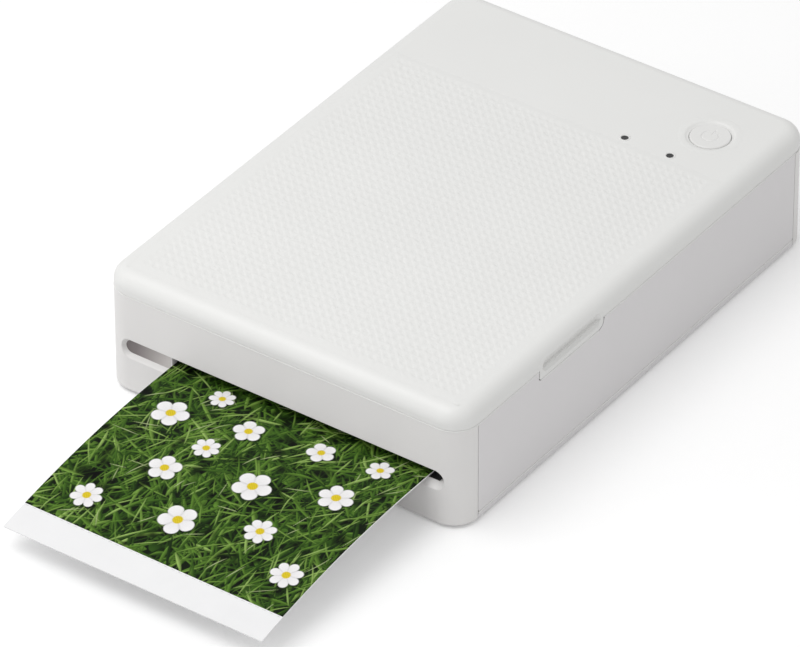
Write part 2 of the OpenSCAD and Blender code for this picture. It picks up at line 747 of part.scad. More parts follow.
module main_board() {
    z = board_z + board_t;
    color([0.1, 0.35, 0.2]) difference() {
        union() {
            block(board_x0, board_x1, board_y0, board_y1, board_z, z);
            block(board_x0 + 3.5, board_x0 + 14.5, along_board(0.23), along_board(0.41), z, z + 1.2);
            block(board_x0 + 17.5, board_x0 + 24.5, along_board(0.26), along_board(0.38), z, z + 1);
            block(board_x0 + 6.5, board_x0 + 12.5, along_board(0.51), along_board(0.58), z, z + 1.4);
            block(board_x0 + 1, board_x0 + 4, along_board(0.5), along_board(0.69), z, z + 2.4);
            for (i = [0:3])
                post(board_x0 + 20.5 + 0.1 * i, along_board(0.51 + 0.086 * i), z, z + 2.2, 1.9);
        }
        for (p = board_posts)
            post(p[0], p[1], 0, z + eps, 1.1);
        // notch for the case screw's boss
        block(screw_x - 2.3, board_x1 + eps, screw_y - 2.3, board_y1 + eps, 0, z + eps);
    }
}

module battery_pack() {
    color([0.25, 0.27, 0.32]) translate([battery_x, battery_y, 0]) {
        for (x = [-1, 1])
            translate([x * battery_w / 4, 0, 0])
                slab(battery_w / 2 - 0.3, battery_l, 1.6, floor_z, floor_z + battery_h);
        block(-battery_w / 2 + 3, battery_w / 2 - 3, -battery_l / 2, -battery_l / 2 + 6,
              floor_z + battery_h, floor_z + battery_h + 1);
        block(-0.6, 0.6, -battery_l / 2 + 4, battery_l / 2 - 4, floor_z + 1, floor_z + battery_h - 1);
    }
}

module usb_socket() {
    y1 = rear_y - 0.9;
    color(steel) {
        translate([usb_x, y1 - 7.3, usb_z]) rotate([90, 0, 180]) linear_extrude(7.3) difference() {
            port_outline(usb_w, usb_h);
            port_outline(usb_w - 0.6, usb_h - 0.6);
        }
        translate([usb_x, y1 - 7.3, usb_z]) rotate([90, 0, 180]) linear_extrude(1)
            port_outline(usb_w - 0.2, usb_h - 0.2);
        block(usb_x - 3.2, usb_x + 3.2, y1 - 6.6, y1 - 0.8, usb_z - 0.35, usb_z + 0.35);
    }
}

module feed_motor() {
    x0 = gear_plate_x - motor_l;
    color(steel) {
        along_x(x0, pinion_c) linear_extrude(motor_l) difference() {
            intersection() {
                circle(motor_r);
                square([2 * motor_r, motor_h], center = true);
            }
            circle(pinion_shaft_r + run_gap);
        }
    }
}

// ---- ribbon cassette ----

cassette_x0 = plate_left + frame_t + 0.5;
cassette_x1 = plate_right - 0.5;
cassette_end = 1;
journal_r = 2;
chamber_out = chamber_r + chamber_t;

module ribbon_cassette() {
    color([0.2, 0.2, 0.22]) {
        // the two spool chambers, open towards the head
        along_x(cassette_x0) linear_extrude(cassette_x1 - cassette_x0)
            for (s = [-1, 1])
                translate([fy(platen_y) + s * spool_gap / 2, spool_z]) difference() {
                    circle(chamber_out);
                    circle(chamber_r);
                    translate([s > 0 ? -chamber_out - 1 : 2.2, -chamber_out - 1])
                        square([chamber_out - 1.2, chamber_out - 0.5]);
                }
        // end plates that join the chambers and carry the spools
        for (x = [cassette_x0, cassette_x1 - cassette_end])
            along_x(x) linear_extrude(cassette_end) difference() {
                union() {
                    for (c = [takeup_c, supply_c])
                        translate(c) circle(chamber_out);
                    translate([takeup_c[0], spool_z - 1.5]) square([spool_gap, 6]);
                }
                for (c = [takeup_c, supply_c])
                    translate(c) circle(journal_r + run_gap);
            }
    }
}

film_z = head_low - 0.35;
film_t = 0.1;

module ribbon_film() {
    a = -125;
    supply_end = supply_c + (supply_r + 0.35) * [cos(a), sin(a)];
    takeup_end = takeup_c + (takeup_r + 0.35) * [-cos(a), sin(a)];
    low = [takeup_end, [fy(platen_y) - 4.4, film_z - film_t / 2], [fy(platen_y) + 4.4, film_z - film_t / 2],
           supply_end];
    high = [for (i = [3:-1:0]) low[i] + [0, film_t]];
    color([0.35, 0.2, 0.32]) along_x(path_x - paper_w / 2 + 0.5) linear_extrude(paper_w - 1)
        polygon(concat(low, high));
}

module spool(c, ribbon) {
    x0 = cassette_x0 + cassette_end + clear_gap;
    x1 = cassette_x1 - cassette_end - clear_gap;
    along_x(0, c) rotate_extrude()
        polygon([[0, cassette_x0], [journal_r, cassette_x0], [journal_r, x0], [5.5, x0], [5.5, x0 + 0.8],
                 [ribbon, x0 + 0.8], [ribbon, x1 - 0.8], [5.5, x1 - 0.8], [5.5, x1], [journal_r, x1],
                 [journal_r, cassette_x1], [0, cassette_x1]]);
}

module take_up_spool() {
    color([0.3, 0.18, 0.28]) spool(takeup_c, takeup_r);
}

module supply_spool() {
    color([0.3, 0.18, 0.28]) spool(supply_c, supply_r);
}

module take_up_gear() {
    color(gear_white) {
        gear(gear_near, gear_w, takeup_c, takeup_teeth, takeup_phase, 1);
        rod_x(gear_near, cassette_x0 - 0.1, takeup_c, journal_r);
    }
}

// ---- rollers and gears ----

module sleeves(c, r, bore, xs, w) {
    for (x = xs)
        tube_x(x - w / 2, x + w / 2, c, r, bore + fit_gap);
}

exit_reach = paper_w / 2 - 12.5;
exit_xs = [path_x - exit_reach, path_x, path_x + exit_reach];
pickup_xs = [path_x - 16, path_x + 16];
pickup_w = 12;
shaft_x0 = gear_far - 0.3;
shaft_x1 = plate_right + frame_t + 1.2;

module exit_roller() { color(rubber) sleeves(exit_c, roller_r, shaft_r, exit_xs, 14); }
module exit_shaft() { color(steel) rod_x(shaft_x0, shaft_x1, exit_c, shaft_r); }
module exit_gear() {
    color(gear_white) gear(gear_far, gear_w, exit_c, roller_teeth, exit_phase, shaft_r + fit_gap);
}
module pinch_roller() { color(rubber) sleeves(pinch_c, pinch_r, pinch_shaft_r, exit_xs, 12); }
module pinch_shaft() {
    color(steel) rod_x(plate_left - 1, plate_right + frame_t + 1, pinch_c, pinch_shaft_r);
}
module platen_roller() { color(rubber) sleeves(platen_c, roller_r, shaft_r, [path_x], paper_w + 1); }
module platen_shaft() { color(steel) rod_x(shaft_x0, shaft_x1, platen_c, shaft_r); }
module platen_gear() {
    color(gear_white) gear(gear_far, gear_w, platen_c, roller_teeth, platen_phase, shaft_r + fit_gap);
}
module pickup_tyres() { color(rubber) sleeves(pickup_c, pickup_r, shaft_r, pickup_xs, pickup_w); }
module pickup_shaft() { color(steel) rod_x(shaft_x0, shaft_x1, pickup_c, shaft_r); }
module pickup_gear() {
    color(gear_white) gear(gear_far, gear_w, pickup_c, roller_teeth, pickup_phase, shaft_r + fit_gap);
}
module front_idler() {
    color(gear_white) gear(gear_far, gear_w, front_c, front_teeth, front_phase, idler_pin_r + run_gap, 2.6);
}
module rear_idler() {
    color(gear_white) gear(gear_far, gear_w, rear_c, rear_teeth, rear_phase, idler_pin_r + run_gap, 2.6);
}

pinion_shaft_r = 0.75;

module motor_pinion() {
    color([0.78, 0.66, 0.35]) {
        gear(gear_far, gear_near + gear_w - gear_far, pinion_c, pinion_teeth, pinion_phase, 0.4);
        rod_x(gear_plate_x - 4, gear_near + gear_w, pinion_c, pinion_shaft_r);
    }
}

// ---- top cover and what it carries ----

cover_in = cover_t;
button_c = [side_x - button_side, rear_y - button_back];
lamp_xs = [side_x - 32.7, side_x - 19.8];
lamp_y = rear_y - lamp_back;
board2_z = under_z - 6;
board2_t = 0.8;
board2_posts = [[side_x - 34.6, lamp_y + 5.7], [side_x - 27.1, rear_y - 14], [side_x - 9.6, lamp_y - 2.8]];
bracket_z = under_z - 0.6;
bracket_xs = [path_x - 14, path_x + 14];
plate_y0 = stack_y + 15.6;
plate_y1 = stack_y + paper_len - 9.4;
plate_half = paper_w / 2 - 8.5;
tube_ys = [plate_y0 + 12, plate_y1 - 14];
tube_r = 3.2;
guide_r = 2.1;
plate_z = tray_z + stack_count * paper_t + clear_gap;
plate_t = 1.2;
sink_z = head_low + 2.6;
sink_top = sink_z + 9;

// Section of the cover's rim, drawn outward from the corner axis
module cover_section() {
    difference() {
        union() {
            translate([0, cover_z]) square([corner_r, top_z - top_r - cover_z]);
            translate([0, cover_z]) square([corner_r - top_r, top_z - cover_z]);
            translate([corner_r - top_r, top_z - top_r]) quarter_disc(top_r);
        }
        translate([-1, cover_z - 1]) square([corner_r - cover_t + 1, top_z - top_r - cover_z + 1]);
        translate([-1, cover_z - 1]) square([corner_r - top_r + 1, under_z - cover_z + 1]);
        translate([corner_r - top_r, top_z - top_r]) quarter_disc(top_r - cover_t);
    }
}

module top_cover() {
    rib_x = side_x - wall_t - clear_gap;
    color(white) difference() {
        union() {
            for (i = [0:3]) {
                round_corner(i) cover_section();
                along_side(i) cover_section();
            }
            slab_half_x = side_x - corner_r;
            block(-slab_half_x, slab_half_x, -rear_y + corner_r, rear_y - corner_r, under_z, top_z);
            // rounded foot of the rear edge, concentric with the hinge
            along_x(-slab_half_x + 0.4) linear_extrude(2 * slab_half_x - 0.8) intersection() {
                translate([hinge_y, hinge_z]) circle(lobe_r);
                translate([rear_y - cover_t, hinge_z - 4]) square([cover_t, cover_z + 0.2 - hinge_z + 4]);
            }
            // finger tab and the thicker wall behind its scoop
            along_x(side_x - wall_t) linear_extrude(wall_t) tab_outline(0, cover_z + 0.4);
            block(side_x - cover_t - 1.4, side_x - cover_t + 0.2, fy(tab_from + 0.5),
                  fy(tab_from + tab_len - 0.5), cover_z + 0.1, under_z + 0.2);
            // ribs that sit just inside the case walls
            for (s = [-1, 1]) {
                x0 = s > 0 ? rib_x - 0.8 : -rib_x;
                block(x0, x0 + 0.8, fy(12), fy(tab_from - 1), panel_z - 1.2, under_z + 0.2);
                block(x0, x0 + 0.8, fy(tab_from + tab_len + 1), rear_y - 33, panel_z - 1.2, under_z + 0.2);
            }
            block(13.1 - side_x, side_x - 13.1, fy(wall_t + clear_gap), fy(wall_t + clear_gap + 0.8),
                  panel_z - 1.2, under_z + 0.2);
            // stiffening ribs under the plate
            for (x = [-24, 28])
                block(x - 0.5, x + 0.5, fy(60), rear_y - 9, under_z - 1, under_z + 0.2);
            for (y = [fy(62), rear_y - 45])
                block(7.1 - side_x, 10, y - 0.5, y + 0.5, under_z - 1, under_z + 0.2);
            for (p = board2_posts)
                post(p[0], p[1], board2_z + board2_t, under_z + 0.2, 2);
            for (x = bracket_xs)
                post(x, fy(platen_y), bracket_z, under_z + 0.2, 2.4);
            for (y = tube_ys)
                post(path_x, y, under_z - 8, under_z + 0.2, tube_r);
            // hinge knuckles on both sides of each knuckle of the rear panel
            for (x = [-1, 1], k = [-1, 1])
                translate([x * knuckle_x + k * (knuckle_w / 2 + clear_gap + 2) - 2, 0, 0]) {
                    rod_x(0, 4, [hinge_y, hinge_z], knuckle_r);
                    block(0, 4, hinge_y - 1.3, hinge_y + 1, hinge_z, under_z + 0.2);
                }
        }
        for (y = tube_ys)
            post(path_x, y, under_z - 9, under_z - 0.2, guide_r + run_gap);
        for (p = board2_posts)
            post(p[0], p[1], board2_z, board2_z + 5, 0.82);
        for (x = bracket_xs)
            post(x, fy(platen_y), bracket_z - eps, bracket_z + 1.5, 0.82);
        for (x = [-1, 1]) {
            w = knuckle_w + 2 * clear_gap;
            block(x * knuckle_x - w / 2, x * knuckle_x + w / 2, hinge_y - 2.6, rear_y + 1,
                  part_z - 4, under_z);
            rod_x(x * knuckle_x - 8, x * knuckle_x + 8, [hinge_y, hinge_z], pin_r + run_gap);
        }
        // power button's hole and dished recess, and the lamp windows
        translate([button_c[0], button_c[1], 0]) rotate_extrude()
            polygon([[0, under_z - eps], [button_r + 0.15, under_z - eps], [button_r + 0.15, top_z - 0.5],
                     [button_r + 0.5, top_z - 0.5], [button_r + 1.9, top_z], [button_r + 1.9, top_z + 1],
                     [0, top_z + 1]]);
        for (x = lamp_xs)
            post(x, lamp_y, under_z - eps, top_z + eps, lamp_r + fit_gap);
        // finger scoop
        translate([side_x + scoop_r - scoop_deep, fy(tab_from + tab_len / 2), part_z + 0.5])
            rotate([90, 0, 0]) rotate_extrude() {
                translate([0, -tab_len / 2 + 3]) square([scoop_r, tab_len - 6]);
                for (k = [0, 1])
                    mirror([0, k]) translate([0, tab_len / 2 - 3]) quarter_disc(scoop_r);
            }
    }
}

module light_guides() {
    color([0.12, 0.12, 0.12])
        for (x = lamp_xs)
            translate([x, lamp_y, board2_z + board2_t + 0.8]) rotate_extrude()
                polygon([[0, 0], [lamp_r, 0], [lamp_r, under_z - board2_z - board2_t - 1.8],
                         [lamp_r + 0.7, under_z - board2_z - board2_t - 1.8],
                         [lamp_r + 0.7, under_z - board2_z - board2_t - 0.82],
                         [lamp_r, under_z - board2_z - board2_t - 0.82],
                         [lamp_r, top_z - 0.05 - board2_z - board2_t - 0.8],
                         [0, top_z - 0.05 - board2_z - board2_t - 0.8]]);
}

module button_board() {
    color([0.1, 0.35, 0.2]) difference() {
        union() {
            block(side_x - 37.6, side_x - 6.6, lamp_y - 6, rear_y - 11, board2_z, board2_z + board2_t);
            for (x = lamp_xs)
                block(x - 0.8, x + 0.8, lamp_y - 0.5, lamp_y + 0.5,
                      board2_z + board2_t, board2_z + board2_t + 0.6);
            block(side_x - 25.1, side_x - 19.1, lamp_y - 5, lamp_y - 2.4,
                  board2_z + board2_t, board2_z + board2_t + 1.2);
        }
        for (p = board2_posts)
            post(p[0], p[1], board2_z - eps, board2_z + 2, 0.95);
    }
}

switch_top = under_z - clear_gap - 1.8 - button_travel - 0.2;

module button_switch() {
    z = board2_z + board2_t;
    color(dark) {
        block(button_c[0] - 3, button_c[0] + 3, button_c[1] - 3, button_c[1] + 3, z, switch_top - 0.6);
        post(button_c[0], button_c[1], z + 0.2, switch_top, 1.7);
    }
}

module power_button() {
    flange_z = under_z - clear_gap;
    cap_z = top_z - 0.1;
    color(white) translate([button_c[0], button_c[1], 0]) rotate_extrude() difference() {
        union() {
            polygon([[0, flange_z - 1.8], [1.5, flange_z - 1.8], [1.5, flange_z - 0.8],
                     [button_r + 0.9, flange_z - 0.8], [button_r + 0.9, flange_z],
                     [button_r, flange_z], [button_r, cap_z - 0.4], [button_r - 0.4, cap_z], [0, cap_z]]);
            translate([button_r - 0.4, cap_z - 0.4]) quarter_disc(0.4);
        }
        polygon([[0, cap_z - 0.12], [button_r - 1.6, cap_z + 0.001], [0, cap_z + 0.001]]);
    }
}

head_x0 = path_x - paper_w / 2 + 1.1;
head_x1 = path_x + paper_w / 2 - 1.1;
arm_t = 0.6;
head_pin_z = sink_z + 5;

module head_bracket() {
    color(steel) {
        difference() {
            block(head_x0 - 0.2 - arm_t, head_x1 + 0.2 + arm_t, fy(platen_y) - 4.4, fy(platen_y) + 4.4,
                  bracket_z - 0.8, bracket_z);
            for (x = bracket_xs)
                post(x, fy(platen_y), bracket_z - 2, bracket_z + 1, 0.95);
        }
        for (x = [head_x0 - 0.2 - arm_t, head_x1 + 0.2])
            along_x(x) linear_extrude(arm_t) difference() {
                translate([fy(platen_y) - 3, head_pin_z - 2.4])
                    square([6, bracket_z - 0.8 - head_pin_z + 2.5]);
                // slot in which the heat sink's pin rides
                translate([fy(platen_y), head_pin_z]) circle(1 + run_gap);
                translate([fy(platen_y), head_pin_z + 1]) circle(1 + run_gap);
                translate([fy(platen_y) - 1 - run_gap, head_pin_z]) square([2 + 2 * run_gap, 1]);
            }
    }
}

module heat_sink() {
    color([0.8, 0.8, 0.82]) {
        along_x(head_x0) linear_extrude(head_x1 - head_x0) translate([fy(platen_y), 0]) {
            translate([-3.8, sink_z]) square([7.6, 2.2]);
            for (i = [-2:2])
                translate([1.7 * i - 0.4, sink_z + 2]) square([0.8, sink_top - sink_z - 2]);
        }
        rod_x(head_x0 - 1, head_x0, [fy(platen_y), head_pin_z], 1);
        rod_x(head_x1, head_x1 + 1, [fy(platen_y), head_pin_z], 1);
        for (x = [head_x0, head_x1 - 2])
            block(x, x + 2, fy(platen_y) - 3.8, fy(platen_y) + 3.8, sink_z, head_pin_z + 2);
    }
}

module thermal_head() {
    color([0.85, 0.82, 0.74])
        along_x(head_x0 + 0.5) linear_extrude(head_x1 - head_x0 - 1) translate([fy(platen_y), 0]) {
            polygon([[-4, head_low + 0.6], [-3.2, head_low + 0.4], [3.2, head_low + 0.4],
                     [4, head_low + 0.6], [4, sink_z], [-4, sink_z]]);
            translate([0, head_low + 0.8]) circle(0.8);
        }
}

head_spring_r = 2.2;
plate_spring_r = 4.3;
wire = 0.5;
head_spring_turns = 4;
plate_spring_turns = 6;

module head_springs() {
    color(steel)
        for (x = [head_x0 + 9.4, head_x1 - 9.4])
            translate([x, fy(platen_y), 0])
                coil(head_spring_r, wire, sink_top + fit_gap, bracket_z - 0.8 - fit_gap, head_spring_turns);
}

module plate_springs() {
    color(steel)
        for (y = tube_ys)
            translate([path_x, y, 0])
                coil(plate_spring_r, wire, plate_z + plate_t + fit_gap, under_z - fit_gap,
                     plate_spring_turns);
}

module pressure_plate() {
    color(dark) {
        difference() {
            block(path_x - plate_half, path_x + plate_half, plate_y0, plate_y1, plate_z, plate_z + plate_t);
            block(path_x - plate_half + 6, path_x + plate_half - 6, plate_y0 + 20, plate_y1 - 22,
                  plate_z - eps, plate_z + plate_t + eps);
        }
        for (y = [plate_y0 + 1, plate_y1 - 2])
            block(path_x - plate_half, path_x + plate_half, y, y + 1, plate_z, plate_z + plate_t + 1);
        for (y = tube_ys)
            post(path_x, y, plate_z, under_z - 4, guide_r);
    }
}

module cover_screws() {
    color(steel) {
        for (p = board2_posts)
            screw(p[0], p[1], board2_z - 0.9, 1.7, 0.9, 0.8, board2_t + 2.6);
        for (x = bracket_xs)
            screw(x, fy(platen_y), bracket_z - 0.8 - 0.9, 1.7, 0.9, 0.8, 0.8 + 1.3);
    }
}

module hinge_pins() {
    color(steel)
        for (x = [-1, 1])
            rod_x(x * knuckle_x - 7, x * knuckle_x + 7, [hinge_y, hinge_z], pin_r);
}

// ---- printed sheet ----

// The sheet is level inside the printer and droops along a large arc in front of it
module printed_sheet() {
    level = 4.5;
    arc = (sheet_out - level) / droop_r * 180 / PI;
    color([0.3, 0.42, 0.18]) {
        block(path_x - paper_w / 2, path_x + paper_w / 2, fy(-level), fy(paper_len - sheet_out),
              sheet_low, sheet_top);
        along_x(path_x - paper_w / 2, [fy(-level), path_z - droop_r])
            rotate([0, 0, 90]) rotate_extrude(angle = arc, $fn = 720)
                translate([droop_r - paper_t / 2, 0]) square([paper_t, paper_w]);
    }
}

echo(str("least gap in a head spring ",
         coil_gap(head_spring_r, wire, sink_top, bracket_z - 0.8, head_spring_turns)));
echo(str("least gap in a plate spring ",
         coil_gap(plate_spring_r, wire, plate_z + plate_t, under_z, plate_spring_turns)));

bottom_case();
front_panel();
right_panel();
left_panel();
rear_panel();
rubber_feet();
case_screws();
chassis();
gear_plate();
idler_pins();
bearings();
exit_guide();
paper_tray();
paper_stack();
ribbon_cassette();
ribbon_film();
main_board();
battery_pack();
usb_socket();
feed_motor();
hinge_pins();
top_cover();
light_guides();
button_board();
button_switch();
head_bracket();
head_springs();
plate_springs();
cover_screws();
power_button();
heat_sink();
thermal_head();
pressure_plate();
exit_roller();
exit_shaft();
exit_gear();
pinch_roller();
pinch_shaft();
platen_roller();
platen_shaft();
platen_gear();
pickup_tyres();
pickup_shaft();
pickup_gear();
front_idler();
rear_idler();
motor_pinion();
take_up_spool();
take_up_gear();
supply_spool();
printed_sheet();
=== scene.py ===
"""Looks of the compact photo printer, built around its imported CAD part.

Sizes and places are in millimetres, and MM turns them into Blender's metres. The materials,
the floor, the lights and the camera are in metres from the start.
"""

import json
import math

import bmesh
import bpy
import numpy as np
from mathutils import Matrix, Vector


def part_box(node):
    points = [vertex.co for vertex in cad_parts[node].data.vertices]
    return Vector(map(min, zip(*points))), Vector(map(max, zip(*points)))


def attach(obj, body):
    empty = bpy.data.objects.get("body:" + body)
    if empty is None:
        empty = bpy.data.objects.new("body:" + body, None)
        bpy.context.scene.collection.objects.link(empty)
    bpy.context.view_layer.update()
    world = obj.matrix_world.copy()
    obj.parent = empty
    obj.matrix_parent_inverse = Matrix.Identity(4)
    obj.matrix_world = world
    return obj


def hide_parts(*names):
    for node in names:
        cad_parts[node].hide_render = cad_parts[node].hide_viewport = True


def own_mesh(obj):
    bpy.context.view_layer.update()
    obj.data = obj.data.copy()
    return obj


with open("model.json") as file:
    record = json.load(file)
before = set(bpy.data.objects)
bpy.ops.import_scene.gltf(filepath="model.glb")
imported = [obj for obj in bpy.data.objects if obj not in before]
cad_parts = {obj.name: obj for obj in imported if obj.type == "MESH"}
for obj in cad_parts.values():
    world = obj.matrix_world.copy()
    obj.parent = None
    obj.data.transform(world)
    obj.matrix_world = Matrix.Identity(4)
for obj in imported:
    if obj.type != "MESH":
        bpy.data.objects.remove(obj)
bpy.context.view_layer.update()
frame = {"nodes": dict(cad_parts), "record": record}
nodes = frame["nodes"]
MM = 0.001

# values that repeat the part's own
HALF_W = 51.1
HALF_L = 72.5
FRONT = -HALF_L
TOP = 33.0
UNDER = 31.2
CORNER_R = 6.6
SEAM_LOW = 27.65
SEAM_HIGH = 27.95
SEAM = 0.3
PATH_X = 4.8
PATH_Z = 12.4
PAPER_W = 73.0
PAPER_T = 0.3
DROOP_R = 273.0
LEVEL = 4.5
LAMPS = ((18.4, 41.5), (31.3, 41.5))
HOLE_R = 5.65
SLOT_Z = 12.7
THROAT_H = 2.6
THROAT_END = 45.4

# left side of the paper's path, and of the part of the slot that is open
PAPER_X0 = PATH_X - PAPER_W / 2
STEP_X = PAPER_X0 - 0.3


# ---------------------------------------------------------------- materials

# sockets of a colour mix node
MIX_FACTOR = 0
MIX_A = 6
MIX_B = 7
MIX_OUT = 2

BEVEL_SAMPLES = 6


def socket_set(shader, **values):
    for name, value in values.items():
        shader.inputs[name.replace("_", " ")].default_value = value


class Look:
    """A node material that is put together step by step."""

    def __init__(self, name):
        self.mat = bpy.data.materials.new(name)
        self.mat.use_nodes = True
        self.tree = self.mat.node_tree
        self.tree.nodes.clear()
        self.out = self.add("ShaderNodeOutputMaterial")
        self.shader = self.add("ShaderNodeBsdfPrincipled")
        self.link(self.shader.outputs["BSDF"], self.out.inputs["Surface"])
        self.coord = self.add("ShaderNodeTexCoord").outputs["Object"]

    def add(self, kind, **props):
        node = self.tree.nodes.new(kind)
        for key, value in props.items():
            setattr(node, key, value)
        return node

    def link(self, a, b):
        self.tree.links.new(a, b)

    def scaled(self, scale):
        m = self.add("ShaderNodeMapping")
        m.inputs["Scale"].default_value = scale
        self.link(self.coord, m.inputs["Vector"])
        return m.outputs["Vector"]

    def noise(self, scale, detail=3.0, roughness=0.5, stretch=(1, 1, 1)):
        n = self.add("ShaderNodeTexNoise")
        n.inputs["Scale"].default_value = scale
        n.inputs["Detail"].default_value = detail
        n.inputs["Roughness"].default_value = roughness
        self.link(self.scaled(stretch), n.inputs["Vector"])
        return n.outputs["Fac"]

    def ramp(self, fac, stops):
        r = self.add("ShaderNodeValToRGB")
        while len(r.color_ramp.elements) < len(stops):
            r.color_ramp.elements.new(0.5)
        for e, (pos, colour) in zip(r.color_ramp.elements, stops):
            e.position = pos
            e.color = (*colour, 1)
        self.link(fac, r.inputs["Fac"])
        return r.outputs["Color"]

    def span(self, fac, low, high):
        m = self.add("ShaderNodeMapRange")
        m.inputs["To Min"].default_value = low
        m.inputs["To Max"].default_value = high
        self.link(fac, m.inputs["Value"])
        return m.outputs["Result"]

    def mix(self, fac, a, b):
        m = self.add("ShaderNodeMix", data_type="RGBA")
        self.link(fac, m.inputs[MIX_FACTOR])
        for socket, value in ((m.inputs[MIX_A], a), (m.inputs[MIX_B], b)):
            if isinstance(value, tuple):
                socket.default_value = (*value, 1)
            else:
                self.link(value, socket)
        return m.outputs[MIX_OUT]

    def colour(self, value):
        self.link(value, self.shader.inputs["Base Color"])

    def rough(self, value):
        if isinstance(value, float):
            self.shader.inputs["Roughness"].default_value = value
        else:
            self.link(value, self.shader.inputs["Roughness"])

    def bump(self, height, strength, distance, edge=0.0):
        b = self.add("ShaderNodeBump")
        b.inputs["Strength"].default_value = strength
        b.inputs["Distance"].default_value = distance
        self.link(height, b.inputs["Height"])
        if edge:
            v = self.add("ShaderNodeBevel", samples=BEVEL_SAMPLES)
            v.inputs["Radius"].default_value = edge
            self.link(v.outputs["Normal"], b.inputs["Normal"])
        self.link(b.outputs["Normal"], self.shader.inputs["Normal"])


def plastic(name, base, rough=0.45, grain=4200.0, depth=0.00001, strength=0.25, vary=0.03,
            edge=0.00012, specular=0.5):
    """Moulded plastic with a fine grain, faint patches and, where edge is set, softened edges."""
    look = Look(name)
    wide = look.noise(38.0, 4.0)
    dark = tuple(c * (1 - vary) for c in base)
    light = tuple(min(1.0, c * (1 + vary * 0.4)) for c in base)
    look.colour(look.ramp(wide, [(0.3, dark), (0.7, light)]))
    look.rough(look.span(look.noise(900.0, 2.0), rough - 0.04, rough + 0.05))
    look.bump(look.noise(grain, 2.0, 0.6), strength, depth, edge)
    socket_set(look.shader, Specular_IOR_Level=specular)
    return look.mat


def metal(name, base, rough=0.32, along=(1, 60, 60), grain=90.0, depth=0.000006, edge=0.0001):
    """Metal with fine streaks, which are long where along is small."""
    look = Look(name)
    streak = look.noise(grain, 4.0, 0.6, along)
    look.colour(look.ramp(streak, [(0.3, tuple(c * 0.86 for c in base)), (0.7, base)]))
    look.rough(look.span(look.noise(grain * 0.7, 3.0, 0.5, along), rough - 0.08, rough + 0.1))
    look.bump(streak, 0.2, depth, edge)
    socket_set(look.shader, Metallic=1.0)
    return look.mat


def board_look(name):
    """Green circuit board with a net of tracks and small pads."""
    look = Look(name)
    brick = look.add("ShaderNodeTexVoronoi", feature="DISTANCE_TO_EDGE", distance="MANHATTAN")
    brick.inputs["Scale"].default_value = 420.0
    look.link(look.scaled((1, 1, 0.1)), brick.inputs["Vector"])
    lines = look.ramp(brick.outputs["Distance"], [(0.02, (1, 1, 1)), (0.05, (0, 0, 0))])
    speck = look.ramp(look.noise(700.0, 1.0), [(0.62, (0, 0, 0)), (0.66, (1, 1, 1))])
    green = look.mix(lines, (0.018, 0.105, 0.045), (0.045, 0.19, 0.085))
    look.colour(look.mix(speck, green, (0.55, 0.50, 0.30)))
    look.rough(0.34)
    look.bump(brick.outputs["Distance"], 0.25, 0.00004)
    return look.mat


def wrap_look(name):
    """The battery's shrunk film."""
    look = Look(name)
    look.colour(look.ramp(look.noise(120.0, 3.0, 0.5, (1, 6, 1)),
                          [(0.3, (0.020, 0.032, 0.075)), (0.75, (0.035, 0.055, 0.12))]))
    look.rough(look.span(look.noise(60.0), 0.22, 0.42))
    look.bump(look.noise(180.0, 4.0, 0.6, (1, 4, 1)), 0.4, 0.00012, 0.0003)
    return look.mat


def ribbon_look(name):
    """Glossy dye film."""
    look = Look(name)
    look.colour(look.ramp(look.noise(260.0, 3.0, 0.5, (0.2, 5, 5)),
                          [(0.3, (0.10, 0.020, 0.075)), (0.7, (0.19, 0.045, 0.13))]))
    look.rough(look.span(look.noise(120.0, 2.0, 0.5, (0.4, 4, 4)), 0.12, 0.24))
    look.bump(look.noise(420.0, 3.0, 0.5, (0.3, 6, 6)), 0.35, 0.00002)
    return look.mat


def ceramic_look(name):
    """The pale glazed strip of the print head."""
    look = Look(name)
    look.colour(look.ramp(look.noise(300.0), [(0.3, (0.66, 0.62, 0.52)), (0.7, (0.74, 0.71, 0.62))]))
    look.rough(look.span(look.noise(500.0), 0.2, 0.34))
    look.bump(look.noise(1800.0), 0.2, 0.00001, 0.0001)
    return look.mat


def paper_look(name, base, rough):
    look = Look(name)
    dark = tuple(c * 0.97 for c in base)
    look.colour(look.ramp(look.noise(90.0, 5.0, 0.6), [(0.3, dark), (0.7, base)]))
    look.rough(look.span(look.noise(1400.0, 3.0), rough - 0.03, rough + 0.06))
    look.bump(look.noise(2600.0, 4.0, 0.6), 0.25, 0.00001)
    return look.mat


def painted_look(name, rough):
    """Takes its colours from the mesh's own colour layer, with paper grain over it."""
    look = Look(name)
    layer = look.add("ShaderNodeVertexColor", layer_name="ink")
    grain = look.ramp(look.noise(2400.0, 3.0), [(0.3, (0.95, 0.95, 0.95)), (0.7, (1, 1, 1))])
    m = look.add("ShaderNodeMix", data_type="RGBA", blend_type="MULTIPLY")
    m.inputs[MIX_FACTOR].default_value = 1.0
    look.link(layer.outputs["Color"], m.inputs[MIX_A])
    look.link(grain, m.inputs[MIX_B])
    look.colour(m.outputs[MIX_OUT])
    look.rough(look.span(look.noise(1500.0, 2.0), rough - 0.03, rough + 0.05))
    look.bump(look.noise(2600.0, 3.0, 0.6), 0.15, 0.00001)
    socket_set(look.shader, Specular_IOR_Level=0.08)
    return look.mat


